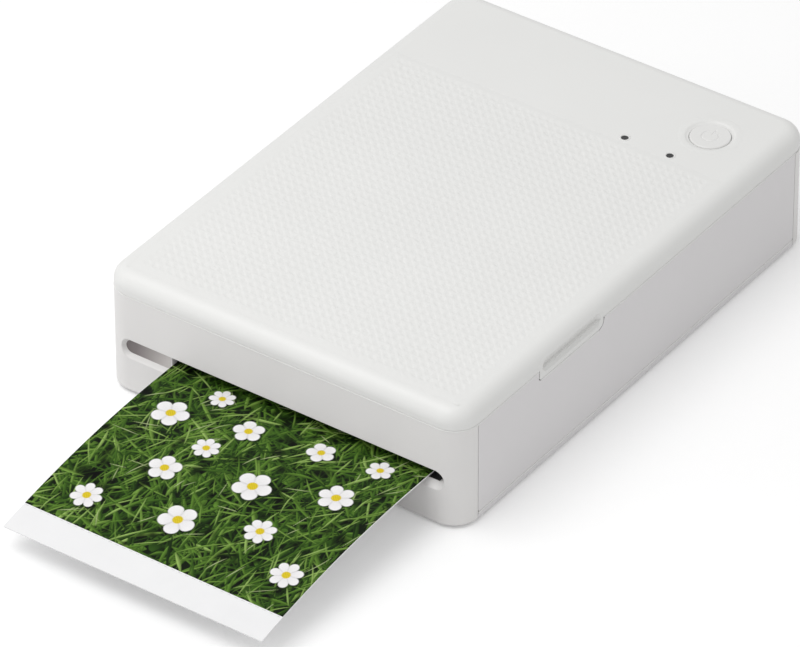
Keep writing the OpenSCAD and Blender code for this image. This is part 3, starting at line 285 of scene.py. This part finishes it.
def blank_look(x0, x1):
    """Painted shade of the slot's deep pocket: dark grey that darkens further towards the closed end of
    the slot.
    """
    look = Look("slot_painted_shade")
    split = look.add("ShaderNodeSeparateXYZ")
    look.link(look.coord, split.inputs[0])
    along = look.add("ShaderNodeMapRange")
    along.inputs["From Min"].default_value = x0 * MM
    along.inputs["From Max"].default_value = x1 * MM
    look.link(split.outputs["X"], along.inputs["Value"])
    # the ramp along X is painted shade, darkest at the closed end of the slot
    tone = look.ramp(along.outputs["Result"], [(0.0, (0.15, 0.13, 0.13)), (0.25, (0.20, 0.175, 0.175)),
                                               (0.6, (0.40, 0.37, 0.36)), (1.0, (0.66, 0.63, 0.61))])
    look.colour(look.mix(look.span(look.noise(400.0, 3.0), 0.0, 0.12), tone, (0.3, 0.28, 0.27)))
    look.rough(0.5)
    look.bump(look.noise(4200.0, 2.0, 0.6), 0.3, 0.00001)
    return look.mat


case_white = plastic("case_white", (0.815, 0.815, 0.800), rough=0.42, vary=0.012, strength=0.35)
case_warm = plastic("case_warm", (0.800, 0.788, 0.777), rough=0.42, vary=0.012, strength=0.35,
                    edge=0.0003)
side_grey = plastic("side_grey", (0.770, 0.755, 0.760), rough=0.46, vary=0.012, strength=0.35)
button_white = plastic("button_white", (0.800, 0.797, 0.784), rough=0.36, vary=0.01, strength=0.2)
black_plastic = plastic("black_plastic", (0.030, 0.030, 0.032), rough=0.5, grain=2600.0, strength=0.5)
cassette_plastic = plastic("cassette_plastic", (0.060, 0.060, 0.066), rough=0.35, strength=0.3)
lamp_dark = plastic("lamp_dark", (0.035, 0.035, 0.036), rough=0.25, strength=0.05, edge=0.0)
rubber_black = plastic("rubber_black", (0.040, 0.040, 0.043), rough=0.78, grain=3200.0,
                       depth=0.00003, strength=0.6, specular=0.3)
gear_plastic = plastic("gear_plastic", (0.74, 0.70, 0.60), rough=0.38, strength=0.2)
steel_sheet = metal("steel_sheet", (0.60, 0.61, 0.62), rough=0.38, along=(8, 1, 40))
steel_bright = metal("steel_bright", (0.68, 0.69, 0.70), rough=0.22, along=(1, 80, 80))
spring_steel = metal("spring_steel", (0.55, 0.56, 0.58), rough=0.26, along=(1, 1, 1), grain=600.0,
                     edge=0.0)
alu = metal("alu", (0.80, 0.81, 0.82), rough=0.35, along=(1, 40, 40))
brass = metal("brass", (0.80, 0.62, 0.30), rough=0.3, along=(1, 30, 30))
board_green = board_look("board_green")
battery_wrap = wrap_look("battery_wrap")
ribbon_film = ribbon_look("ribbon_film")
ceramic = ceramic_look("ceramic")
card_white = paper_look("card_white", (0.86, 0.86, 0.85), 0.5)
card_gloss = paper_look("card_gloss", (0.88, 0.88, 0.885), 0.30)

LOOKS = {
    "case_white": case_white, "side_grey": side_grey, "dark_plastic": black_plastic,
    "cassette_plastic": cassette_plastic, "rubber": rubber_black, "sheet_metal": steel_sheet,
    "bright_steel": steel_bright, "gear_plastic": gear_plastic, "brass": brass,
    "board_green": board_green, "battery_wrap": battery_wrap, "ribbon": ribbon_film,
    "aluminium": alu, "ceramic": ceramic, "paper_white": card_white, "printed_paper": card_gloss,
}


def dress(obj, mat):
    obj.data.materials.clear()
    obj.data.materials.append(mat)
    for poly in obj.data.polygons:
        poly.material_index = 0


for entry in frame["record"]["subparts"]:
    dress(nodes[entry["node"]], LOOKS[entry["material_slot"]])
for name in ("front_panel", "rear_panel"):
    dress(nodes[name], case_warm)
dress(nodes["bottom_case"], side_grey)
dress(nodes["light_guides"], lamp_dark)


# ---------------------------------------------------------------- mesh helpers

def add_piece(name, mesh, mat, body, smooth):
    """Puts a mesh in the scene as a piece with its material and body."""
    obj = bpy.data.objects.new(name, mesh)
    bpy.context.scene.collection.objects.link(obj)
    mesh.materials.append(mat)
    for poly in mesh.polygons:
        poly.use_smooth = smooth
    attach(obj, body)
    return obj


def from_points(name, verts, faces, mat, body, smooth=True):
    mesh = bpy.data.meshes.new(name)
    mesh.from_pydata(verts, [], faces)
    mesh.update()
    return add_piece(name, mesh, mat, body, smooth)


def from_bmesh(name, bm, mat, body):
    """A piece with flat faces."""
    mesh = bpy.data.meshes.new(name)
    bm.to_mesh(mesh)
    bm.free()
    add_piece(name, mesh, mat, body, smooth=False)


def grid_faces(nx, ny):
    """Faces of a grid whose points run along x first."""
    i = np.arange(nx - 1)[None, :] + np.arange(ny - 1)[:, None] * nx
    quads = np.stack([i, i + 1, i + 1 + nx, i + nx], -1).reshape(-1, 4)
    return quads.tolist()


def level_circle(centre, r, z, steps):
    """Vertices of a level circle of radius r at height z."""
    angles = [2 * math.pi * k / steps for k in range(steps)]
    return [((centre[0] + r * math.cos(a)) * MM, (centre[1] + r * math.sin(a)) * MM, z * MM)
            for a in angles]


def turned(centre, profile, steps, first=0):
    """Turns an open (radius, height) profile round an upright axis, its vertices counted from first."""
    verts, faces = [], []
    for r, z in profile:
        verts += level_circle(centre, r, z, steps)
    for i in range(len(profile) - 1):
        a, b = first + i * steps, first + (i + 1) * steps
        faces += [(a + k, a + (k + 1) % steps, b + (k + 1) % steps, b + k) for k in range(steps)]
    return verts, faces


def swept(path, profile):
    """Sweeps a closed (out, up) profile along a level path of (x, y, out_x, out_y) points."""
    k = len(profile)
    verts = [((x + ox * out) * MM, (y + oy * out) * MM, z * MM)
             for x, y, ox, oy in path for out, z in profile]
    faces = []
    for i in range(len(path) - 1):
        for a in range(k):
            b = (a + 1) % k
            faces.append((i * k + a, i * k + b, (i + 1) * k + b, (i + 1) * k + a))
    faces.append(tuple(range(k))[::-1])
    faces.append(tuple((len(path) - 1) * k + a for a in range(k)))
    return verts, faces


def fade(t):
    """Rises softly from 0 to 1 as t does."""
    t = np.clip(t, 0, 1)
    return t * t * (3 - 2 * t)


# ---------------------------------------------------------------- coil springs


def make_springs(name, node):
    """Copies the part's coils in spring steel, hangs them on the cover's body and hides the part's own.
    """
    old = nodes[node]
    coils = bpy.data.objects.new(name, old.data.copy())
    bpy.context.scene.collection.objects.link(coils)
    coils.matrix_world = old.matrix_world
    dress(coils, spring_steel)
    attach(coils, "cover")
    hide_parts(node)
    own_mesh(coils)


make_springs("head_coils", "head_springs")
make_springs("plate_coils", "plate_springs")


# ---------------------------------------------------------------- relief on the top cover

RELIEF = 0.12
# the skin that carries the relief: its reach, and the run over which it rises from under the cover
SKIN_X = (-47.0, 47.2)
SKIN_Y = (FRONT + 4.0, FRONT + 112.4)
SKIN_RUN = 2.2
SKIN_SUNK = 0.006
# the lattice in it: its limits left, right, front and rear, and the run over which each fades
LATTICE_X = (-46.4, 46.9)
LATTICE_Y = (FRONT + 4.4, FRONT + 111.8)
LATTICE_RUNS = (4.0, 2.8, 3.4, 3.6)
LATTICE_PITCH = 2.305
# shares of the square grid and of its diagonal, and how far the level is lowered
GRID_PART = 0.46
DIAGONAL_PART = 0.50
LEVEL_DROP = 0.12
# a finer wave over the lattice, its phases, and how far the unevenness moves them along X and Y
RIPPLE = 0.40
RIPPLE_PHASES = (1.2, 0.5)
RIPPLE_DRIFT = (0.9, -0.7)
# steepness of the dimples' sides, and how far the unevenness changes it
STEEP = 2.4
STEEP_DRIFT = 0.7
RELIEF_STEP = 0.21
RELIEF_SEED = 5
UNEVEN_WAVES = 9
UNEVEN_RATES = (0.8, 2.6)
WAVE_SHIFT = 6


def lattice(X, Y):
    """Height of the dimpled lattice, from -1 to 1: squares joined on one diagonal, made uneven."""
    rng = np.random.default_rng(RELIEF_SEED)
    k = 2 * np.pi / LATTICE_PITCH
    h = GRID_PART * (np.cos(k * X) + np.cos(k * Y)) + DIAGONAL_PART * np.cos(k * (X + Y)) - LEVEL_DROP
    uneven = sum(np.sin(rng.uniform(*UNEVEN_RATES) * X + rng.uniform(0, WAVE_SHIFT))
                 * np.sin(rng.uniform(*UNEVEN_RATES) * Y + rng.uniform(0, WAVE_SHIFT))
                 for _ in range(UNEVEN_WAVES))
    across, along = (np.sin(2 * k * place + phase + drift * uneven)
                     for place, phase, drift in zip((X, Y), RIPPLE_PHASES, RIPPLE_DRIFT))
    h += RIPPLE * across * along
    return -np.tanh((STEEP + STEEP_DRIFT * uneven) * h)


def make_relief():
    """The cover's textured field, fading out towards its edges."""
    (x0, x1), (y0, y1) = SKIN_X, SKIN_Y
    nx, ny = int((x1 - x0) / RELIEF_STEP) + 1, int((y1 - y0) / RELIEF_STEP) + 1
    X, Y = np.meshgrid(np.linspace(x0, x1, nx), np.linspace(y0, y1, ny))
    left, right, front, rear = LATTICE_RUNS
    inner = np.minimum.reduce([(X - LATTICE_X[0]) / left, (LATTICE_X[1] - X) / right,
                               (Y - LATTICE_Y[0]) / front, (LATTICE_Y[1] - Y) / rear])
    edge = np.minimum.reduce([X - x0, x1 - X, Y - y0, y1 - Y]) / SKIN_RUN
    lift = fade(edge)
    sunk = 0.5 * (lattice(X, Y) - 1.0) * fade(inner)
    Z = TOP - SKIN_SUNK + (RELIEF + 2 * SKIN_SUNK) * lift + RELIEF * sunk * lift
    verts = np.stack([X, Y, Z], -1).reshape(-1, 3) * MM
    from_points("cover_relief", verts.tolist(), grid_faces(nx, ny), case_white, "cover")


make_relief()


# ---------------------------------------------------------------- printed sheet

PRINT_END = 56.0
PRINT_INNER = 20.2
PRINT_INSET = 0.03
PRINT_LIFT = 0.02
PRINT_STEP = 0.15
PRINT_SEED = 11

SOIL = (0.004, 0.009, 0.002)
GREENS = ((0.010, 0.028, 0.004), (0.022, 0.060, 0.006), (0.045, 0.110, 0.012),
          (0.085, 0.180, 0.022), (0.150, 0.270, 0.045), (0.260, 0.400, 0.100))
STRAW = (0.42, 0.50, 0.24)
PETAL = (1.0, 0.985, 0.99)
HEART = (0.86, 0.66, 0.03)

# numbers of broad leaves, layers of blades, blades and shadows in a layer, bright blades and straws
BROAD_LEAVES = 300
LAYERS = 4
BLADES = 620
SHADOWS = 90
BRIGHT_BLADES = 190
STRAWS = 60

# middle and radius of each blossom
BLOSSOMS = ((10.5, 42.0, 4.6), (21.0, 25.5, 4.1), (29.5, 46.5, 3.8), (34.0, 13.0, 4.7),
            (42.0, 31.0, 4.8), (52.5, 19.5, 3.9), (48.0, 49.5, 3.5), (60.5, 38.0, 4.4),
            (66.0, 11.0, 4.0), (11.0, 9.0, 3.9), (25.0, 36.2, 3.4), (63.0, 51.8, 3.3),
            (17.2, 53.0, 3.2))

CUTS = 37
CUT_SIZE = (0.9, 0.09, 0.02)
CUT_MARGIN = 1.0
CUT_PAST_PRINT = 0.35
CUT_LIFT = 0.012


def sheet_point(s, lift):
    """Y and Z of the point that is s out from the front face and lift above the sheet's middle."""
    if s <= LEVEL:
        return FRONT - s, PATH_Z + lift
    a = (s - LEVEL) / DROOP_R
    return (FRONT - LEVEL - math.sin(a) * (DROOP_R + lift),
            PATH_Z - DROOP_R + math.cos(a) * (DROOP_R + lift))


class Painting:
    """A picture on a grid of points, painted stroke by stroke."""

    def __init__(self, width, height, step):
        self.step = step
        self.nx, self.ny = int(width / step) + 1, int(height / step) + 1
        self.X, self.Y = np.meshgrid(np.linspace(0, width, self.nx), np.linspace(0, height, self.ny))
        self.img = np.zeros((self.ny, self.nx, 3))
        self.img[:] = SOIL

    def patch(self, cx, cy, reach):
        """The part of the grid that lies within reach of a point."""
        i0, i1 = np.searchsorted(self.Y[:, 0], [cy - reach, cy + reach])
        j0, j1 = np.searchsorted(self.X[0], [cx - reach, cx + reach])
        return (slice(max(i0 - 1, 0), min(i1 + 1, self.ny)),
                slice(max(j0 - 1, 0), min(j1 + 1, self.nx)))

    def leaf(self, cx, cy, length, wide, angle, colour, bend=0.0):
        """A pointed blade, lighter on one side of its middle."""
        sl = self.patch(cx, cy, length)
        x, y = self.X[sl] - cx, self.Y[sl] - cy
        u = x * math.cos(angle) + y * math.sin(angle)
        v = -x * math.sin(angle) + y * math.cos(angle) - bend * u * u / length
        t = np.clip(np.abs(u) / (length / 2), 0, 1)
        w = wide / 2 * (1 - t ** 2.2)
        mask = np.clip((w - np.abs(v)) / (self.step * 0.6) + 0.5, 0, 1) * (t < 1)
        shade = 0.8 + 0.5 * np.clip(v / (wide / 2 + 1e-6), -1, 1) + 0.15 * (1 - t)
        part = self.img[sl]
        for c in range(3):
            part[..., c] = part[..., c] * (1 - mask) + colour[c] * shade * mask

    def shadow(self, cx, cy, r):
        sl = self.patch(cx, cy, r)
        d = np.hypot(self.X[sl] - cx, self.Y[sl] - cy) / r
        self.img[sl] *= (1 - 0.75 * np.clip(1.3 - 1.5 * d, 0, 1))[..., None]

    def blossom(self, cx, cy, r, petals, turn):
        """White petals round a yellow heart, with a shadow to the lower right."""
        sl = self.patch(cx, cy, r * 1.2)
        x, y = self.X[sl] - cx, self.Y[sl] - cy
        d, a = np.hypot(x, y), np.arctan2(y, x) + turn
        soft = self.step * 1.2
        lobe = np.abs(np.cos(a * petals / 2))
        edge = r * (0.60 + 0.40 * lobe ** 0.55)
        mask = np.clip((edge - d) / soft + 0.5, 0, 1)
        groove = 0.82 + 0.18 * np.clip(lobe * 2.2, 0, 1)
        tone = groove * (0.80 + 0.12 * np.clip(d / r, 0, 1))
        dark = np.clip((edge * 1.15 - np.hypot(x - 0.35, y + 0.35)) / 0.8, 0, 1) * 0.55
        heart = np.clip((r * 0.27 - d) / soft + 0.5, 0, 1)
        dots = 0.82 + 0.18 * np.sin(x * 9) * np.sin(y * 9 + 1)
        part = self.img[sl]
        for c in range(3):
            part[..., c] *= 1 - dark
            part[..., c] = part[..., c] * (1 - mask) + tone * PETAL[c] * mask
            part[..., c] = part[..., c] * (1 - heart) + HEART[c] * dots * heart


def paint_meadow(width, height, step):
    """A made-up close view of grass and leaves with scattered small blossoms."""
    rng = np.random.default_rng(PRINT_SEED)
    art = Painting(width, height, step)

    def place():
        return rng.uniform(0, width), rng.uniform(0, height)

    for _ in range(BROAD_LEAVES):
        art.leaf(*place(), rng.uniform(3, 7), rng.uniform(1.5, 3.4), rng.uniform(0, math.pi),
                 GREENS[rng.integers(1, 4)])
    for layer in range(LAYERS):
        for _ in range(BLADES):
            green = GREENS[min(5, max(0, int(rng.normal(1.0 + layer * 0.8, 1.1))))]
            angle = rng.normal(1.15 if rng.random() < 0.6 else 2.3, 0.55)
            art.leaf(*place(), rng.uniform(4, 13), rng.uniform(0.3, 0.95), angle, green,
                     rng.normal(0, 0.12))
        for _ in range(SHADOWS):
            art.shadow(*place(), rng.uniform(1.0, 3.2))
    for _ in range(BRIGHT_BLADES):
        art.leaf(*place(), rng.uniform(4, 11), rng.uniform(0.25, 0.5), rng.normal(1.2, 0.7),
                 GREENS[rng.integers(4, 6)], rng.normal(0, 0.1))
    for _ in range(STRAWS):
        art.leaf(*place(), rng.uniform(3, 8), rng.uniform(0.16, 0.28), rng.normal(1.0, 0.8),
                 STRAW, rng.normal(0, 0.1))
    for cx, cy, r in BLOSSOMS:
        art.blossom(cx, cy, r, int(rng.integers(5, 8)), rng.uniform(0, 6.28))
    return art


def make_print():
    """The printed field, a thin skin that follows the sheet's droop."""
    width = PAPER_W - 2 * PRINT_INSET
    art = paint_meadow(width, PRINT_END + PRINT_INNER, PRINT_STEP)
    x0 = PAPER_X0 + PRINT_INSET
    xs = np.linspace(x0, x0 + width, art.nx)
    verts = []
    for s in np.linspace(PRINT_END, -PRINT_INNER, art.ny):
        y, z = sheet_point(s, PAPER_T / 2 + PRINT_LIFT)
        verts.extend((x * MM, y * MM, z * MM) for x in xs)
    obj = from_points("sheet_print", verts, grid_faces(art.nx, art.ny), painted_look("print_ink", 0.45),
                      "printed_sheet")
    layer = obj.data.color_attributes.new("ink", "FLOAT_COLOR", "POINT")
    rgba = np.ones((art.ny * art.nx, 4), dtype=np.float32)
    rgba[:, :3] = np.clip(art.img, 0, 1).reshape(-1, 3)
    layer.data.foreach_set("color", rgba.ravel())
    obj.visible_diffuse = False


def make_tear_line():
    """The row of small cuts along which the white strip is torn off."""
    bm = bmesh.new()
    y, z = sheet_point(PRINT_END + CUT_PAST_PRINT, PAPER_T / 2 + CUT_LIFT)
    spacing = (PAPER_W - 2 * CUT_MARGIN) / (CUTS - 1)
    size = Matrix.Diagonal((*(side * MM for side in CUT_SIZE), 1))
    for i in range(CUTS):
        x = PAPER_X0 + CUT_MARGIN + i * spacing
        bmesh.ops.create_cube(bm, size=1.0, matrix=Matrix.Translation((x * MM, y * MM, z * MM)) @ size)
    from_bmesh("sheet_tear_line", bm, plastic("cut_grey", (0.62, 0.62, 0.62), strength=0.1, edge=0.0),
               "printed_sheet")


make_print()
make_tear_line()


# ---------------------------------------------------------------- power button and lamps

CAP = (34.5, 54.0)
CAP_R = 5.05
CAP_TOP = TOP - 0.1
CAP_EDGE = 0.35
CAP_HOLLOW = 0.06
FLANGE_R = HOLE_R + 0.75
FLANGE_TOP = UNDER - 0.3
FLANGE_LOW = UNDER - 1.1
PLUNGER_R = 1.5

MARK_DEEP = 0.13
MARK_R = 2.05
MARK_GAP = 32
MARK_LINE = 0.12
MARK_SOFT = 0.16
BAR_Y = 1.75
BAR_HALF = 0.85

DISH_R = 7.4
WELL_R = CAP_R + 1.25
WELL_RUN = 0.85
WELL_DEEP = 0.36

# inner and outer radius of a lamp's rim, and its height
RIM_R0 = 1.0
RIM_R1 = 1.36
RIM_H = 0.09
RIM_STEPS = 72


def mark_depth(x, y):
    """Depth of the power symbol, a broken ring with a bar in its gap, at a point on the cap."""
    r, a = math.hypot(x, y), math.degrees(math.atan2(x, y))
    ring = abs(r - MARK_R) if abs(a) > MARK_GAP else math.inf
    bar = max(abs(x), abs(y - BAR_Y) - BAR_HALF)
    return MARK_DEEP * (1 - float(fade((min(ring, bar) - MARK_LINE) / MARK_SOFT)))


def make_button():
    """The cap in one skin, with a softened edge, a slight hollow and the engraved symbol."""
    rings, steps = ((72, 180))
    flat_r = CAP_R - CAP_EDGE
    verts = [(CAP[0] * MM, CAP[1] * MM, (CAP_TOP - CAP_HOLLOW) * MM)]
    for i in range(1, rings + 1):
        r = flat_r * i / rings
        for k in range(steps):
            a = 2 * math.pi * k / steps
            x, y = r * math.cos(a), r * math.sin(a)
            z = CAP_TOP - CAP_HOLLOW * (1 - (r / CAP_R) ** 2) - mark_depth(x, y)
            verts.append(((CAP[0] + x) * MM, (CAP[1] + y) * MM, z * MM))
    side = [(flat_r + CAP_EDGE * math.sin(t), CAP_TOP - CAP_EDGE * (1 - math.cos(t)))
            for t in np.linspace(0, math.pi / 2, 8)[1:]]
    side += [(CAP_R, FLANGE_TOP), (FLANGE_R, FLANGE_TOP), (FLANGE_R, FLANGE_LOW), (PLUNGER_R, FLANGE_LOW)]
    for r, z in side:
        verts += level_circle(CAP, r, z, steps)
    faces = [(0, 1 + k, 1 + (k + 1) % steps) for k in range(steps)]
    for i in range(rings + len(side) - 1):
        b = 1 + i * steps
        faces += [(b + k, b + steps + k, b + steps + (k + 1) % steps, b + (k + 1) % steps)
                  for k in range(steps)]
    b = 1 + (rings + len(side) - 1) * steps
    faces.append(tuple(b + k for k in range(steps))[::-1])
    cap = from_points("button_cap", verts, faces, button_white, "power_button")
    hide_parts("power_button")


def make_dish():
    """The dished collar round the cap, flush with the cover and lying in its recess."""
    profile = [(DISH_R + 0.55, TOP - 0.01), (DISH_R + 0.45, TOP + 0.008), (WELL_R, TOP + 0.010)]
    profile += [(WELL_R - WELL_RUN * t, TOP + 0.01 - WELL_DEEP * float(fade(t)))
                for t in np.linspace(0, 1, 9)[1:]]
    profile += [(CAP_R + 0.18, TOP - 0.38), (CAP_R + 0.12, TOP - 0.44), (CAP_R + 0.12, TOP - 0.8)]
    verts, faces = turned(CAP, profile, 180)
    from_points("button_dish", verts, faces, case_white, "cover")


def make_lamp_rims():
    """A low raised ring with a softened top round each lamp."""
    mid, half = (RIM_R0 + RIM_R1) / 2, (RIM_R1 - RIM_R0) / 2
    section = [(-half, -0.02), (-half, RIM_H * 0.6), (-half * 0.6, RIM_H), (half * 0.6, RIM_H),
               (half, RIM_H * 0.6), (half, -0.02)]
    profile = [(mid + out, TOP + up) for out, up in section]
    verts, faces = [], []
    for lamp in LAMPS:
        more_verts, more_faces = turned(lamp, profile, RIM_STEPS, first=len(verts))
        verts += more_verts
        faces += more_faces
    from_points("lamp_rims", verts, faces, button_white, "cover")


make_button()
make_dish()
make_lamp_rims()


# ---------------------------------------------------------------- seam lip

LIP_GAP = 0.24
LIP_IN = 1.2
LIP_REAR = HALF_L - CORNER_R + 0.4
CORNER_PARTS = 12


def outline():
    """Points round the case, each with its outward direction, seen from above."""
    points = []
    w, l = HALF_W - CORNER_R, HALF_L - CORNER_R
    for qx, qy, a0 in ((1, 1, 0), (-1, 1, 90), (-1, -1, 180), (1, -1, 270)):
        for i in range(CORNER_PARTS + 1):
            a = math.radians(a0 + 90 * i / CORNER_PARTS)
            points.append((qx * w + CORNER_R * math.cos(a), qy * l + CORNER_R * math.sin(a),
                           math.cos(a), math.sin(a)))
    return points


def make_lip():
    """The cover's rim, which leaves only a fine line of the seam, except along the rear."""
    points = outline()
    kept = [p[1] <= LIP_REAR for p in points]
    start = next(i for i in range(len(points)) if kept[i] and not kept[i - 1])
    run = [p for p in points[start:] + points[:start] if p[1] <= LIP_REAR]
    high, low = SEAM_HIGH + 0.01, SEAM_LOW + LIP_GAP
    verts, faces = swept(run, [(-0.02, high), (-0.06, low), (-LIP_IN, low), (-LIP_IN, high)])
    from_points("cover_lip", verts, faces, case_white, "cover", smooth=False)


make_lip()


# ---------------------------------------------------------------- light edges of the case

PROUD = 0.1
TAB_ENDS = (-41.6, -15.0)
TAB_EDGE_ENDS = (TAB_ENDS[0] + 0.9, TAB_ENDS[1] - 2.3)
TAB_LOW = 25.0
# how far a strip reaches below and above its wall's top, and into the case
EDGE_BELOW = 0.22
EDGE_ABOVE = 0.19
EDGE_IN = 0.9


def edge_strip(name, run, z):
    """The softened upper edge of a wall whose top is at height z, which catches the light by its shape
    and is also given the cover's lighter white as a painted highlight.
    """
    low, high = z - EDGE_BELOW, z + EDGE_ABOVE
    profile = [(-0.02, low), (PROUD, z - 0.08), (PROUD - 0.02, z + 0.02), (-0.06, high),
               (-EDGE_IN, high), (-EDGE_IN, low)]
    verts, faces = swept(run, profile)
    # case_white is lighter than the walls these strips sit on: a painted highlight added to the light
    # they catch
    from_points(name, verts, faces, case_white, "case", smooth=False)


def side_run(side, ends):
    """A straight run along the right (1) or left (-1) side, from one end to the other."""
    return [(side * HALF_W, y, side, 0) for y in ends]


def make_edges():
    """Edges below the cover's seam, under its tab and on the sills below the side panels."""
    rear = HALF_L - CORNER_R
    corners = [p for p in outline() if p[1] < 0]
    front = side_run(-1, (rear,)) + corners + side_run(1, (TAB_ENDS[0],))
    edge_strip("front_edge", front, SEAM_LOW)
    edge_strip("side_edge", side_run(1, (TAB_ENDS[1], rear)), SEAM_LOW)
    edge_strip("tab_edge", side_run(1, TAB_EDGE_ENDS), TAB_LOW)
    for side, node in ((1, "right_panel"), (-1, "left_panel")):
        low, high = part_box(node)
        ends = sorted((low[1] / MM, high[1] / MM), key=lambda y: side * y)
        edge_strip("sill_edge_" + node.split("_")[0], side_run(side, ends), low[2] / MM - SEAM)


make_edges()


# ---------------------------------------------------------------- slot

LINING_Y = (FRONT + 1.74, FRONT + 3.3)
LINING_GAP = 0.02
LINING_T = 0.01
BLANK_X = -45.6
BLANK_Y = (FRONT + 1.12, FRONT + 1.7)
BLANK_H = 1.85
POST_W = 0.5
POST_PROUD = 0.05
BLOCK_EDGE = 0.05


def make_throat():
    """Black lining of the throat behind its flared lip, which paints the deep shade inside the throat."""
    r = THROAT_H / 2 - LINING_GAP
    x0, x1 = STEP_X + LINING_GAP, THROAT_END - THROAT_H / 2 + 0.5
    loop = [(x0, SLOT_Z + r)]
    loop += [(x1 + r * math.sin(a), SLOT_Z + r * math.cos(a)) for a in np.linspace(0, math.pi, 17)]
    loop += [(x0, SLOT_Z - r)]
    verts = [(x * MM, y * MM, z * MM) for x, z in loop for y in LINING_Y]
    faces = [(2 * i, 2 * i + 1, 2 * i + 3, 2 * i + 2) for i in range(len(loop) - 1)]
    # the black over the throat's white walls is painted shade
    obj = from_points("slot_shade_lining", verts, faces, black_plastic, "case", smooth=False)
    obj.modifiers.new("thick", "SOLIDIFY").thickness = LINING_T * MM


def make_block(name, low, high, mat):
    """A block on the case with softened edges."""
    bm = bmesh.new()
    middle = [(a + b) / 2 * MM for a, b in zip(low, high)]
    size = [(b - a) * MM for a, b in zip(low, high)]
    bmesh.ops.create_cube(bm, size=1.0, matrix=Matrix.Translation(middle) @ Matrix.Diagonal((*size, 1)))
    bmesh.ops.bevel(bm, geom=bm.edges[:], offset=BLOCK_EDGE * MM, segments=2, affect="EDGES")
    from_bmesh(name, bm, mat, "case")


def make_blank():
    """The blank in the slot's closed left part, whose grey is painted shade, and the post at its end
    beside the sheet.
    """
    (y0, y1), end = BLANK_Y, STEP_X - POST_W
    z0, z1 = SLOT_Z - BLANK_H, SLOT_Z + BLANK_H
    # the blank's dark grey is painted shade over the slot's white wall
    make_block("slot_shade_blank", (BLANK_X, y0, z0), (end, y1, z1), blank_look(BLANK_X, end))
    make_block("slot_post", (end, y0 - POST_PROUD, z0), (STEP_X, y1, z1), case_warm)


make_throat()
make_blank()


# ---------------------------------------------------------------- stage, light and camera

FLOOR_SIZE = 8.0
FLOOR_Z = -0.0002
FLOOR_GLOW = 0.20

LIT = (0, 0, 0.02)
KEY_PLACE = (-0.14, -0.24, 0.58)
KEY_SIZE = (0.50, 0.40)
KEY = 1.56
SOFT_PLACE = (-0.75, -0.75, 0.32)
SOFT_SIZE = (0.5, 0.5)
FRONT_SOFT = 0.75
SKY = 0.655
WHITE = (1, 1, 1, 1)

CAMERA_PLACE = (0.88216, -1.25982, 1.12046)
# degrees: turn about the upright, tilt from straight down, and roll about the view
CAMERA_TURN = 35.54
CAMERA_TILT = 53.81
CAMERA_ROLL = -0.156
LENS = 360.0
SENSOR = 36.0
CLIP = (0.05, 30.0)


def make_floor():
    bpy.ops.mesh.primitive_plane_add(size=FLOOR_SIZE, location=(0, 0, FLOOR_Z))
    floor = bpy.context.object
    floor.name = "floor"
    look = Look("floor_pale")
    look.colour(look.ramp(look.noise(3.0, 2.0), [(0.3, (0.86, 0.86, 0.86)), (0.7, (0.88, 0.88, 0.88))]))
    look.rough(0.9)
    # a little glow that only the camera sees keeps the floor white beside its soft shadow
    seen = look.add("ShaderNodeLightPath").outputs["Is Camera Ray"]
    look.shader.inputs["Emission Color"].default_value = WHITE
    look.link(look.span(seen, 0.0, FLOOR_GLOW), look.shader.inputs["Emission Strength"])
    floor.data.materials.append(look.mat)


def area_light(name, place, size, power):
    """A rectangular lamp that faces the printer."""
    data = bpy.data.lights.new(name, "AREA")
    data.shape = "RECTANGLE"
    data.size, data.size_y = size
    data.energy = power
    obj = bpy.data.objects.new(name, data)
    obj.location = place
    obj.rotation_euler = (Vector(LIT) - Vector(place)).to_track_quat("-Z", "Y").to_euler()
    bpy.context.scene.collection.objects.link(obj)


def make_world():
    """A plain sky that lights at SKY and that the camera sees as white."""
    world = bpy.data.worlds.new("studio")
    bpy.context.scene.world = world
    world.use_nodes = True
    tree = world.node_tree
    tree.nodes.clear()
    out = tree.nodes.new("ShaderNodeOutputWorld")
    mix = tree.nodes.new("ShaderNodeMixShader")
    path = tree.nodes.new("ShaderNodeLightPath")
    tree.links.new(path.outputs["Is Camera Ray"], mix.inputs[0])
    for socket, strength in ((1, SKY), (2, 1.0)):
        sky = tree.nodes.new("ShaderNodeBackground")
        sky.inputs["Color"].default_value = WHITE
        sky.inputs["Strength"].default_value = strength
        tree.links.new(sky.outputs[0], mix.inputs[socket])
    tree.links.new(mix.outputs[0], out.inputs["Surface"])


def make_camera():
    data = bpy.data.cameras.new("camera")
    data.sensor_width = SENSOR
    data.sensor_fit = "HORIZONTAL"
    data.lens = LENS
    data.clip_start, data.clip_end = CLIP
    camera = bpy.data.objects.new("camera", data)
    camera.matrix_world = (Matrix.Translation(CAMERA_PLACE)
                           @ Matrix.Rotation(math.radians(CAMERA_TURN), 4, "Z")
                           @ Matrix.Rotation(math.radians(CAMERA_TILT), 4, "X")
                           @ Matrix.Rotation(math.radians(CAMERA_ROLL), 4, "Z"))
    bpy.context.scene.collection.objects.link(camera)
    bpy.context.scene.camera = camera


make_floor()
area_light("key", KEY_PLACE, KEY_SIZE, KEY)
area_light("front_soft", SOFT_PLACE, SOFT_SIZE, FRONT_SOFT)
make_world()
make_camera()
bpy.context.scene.view_settings.view_transform = "Standard"
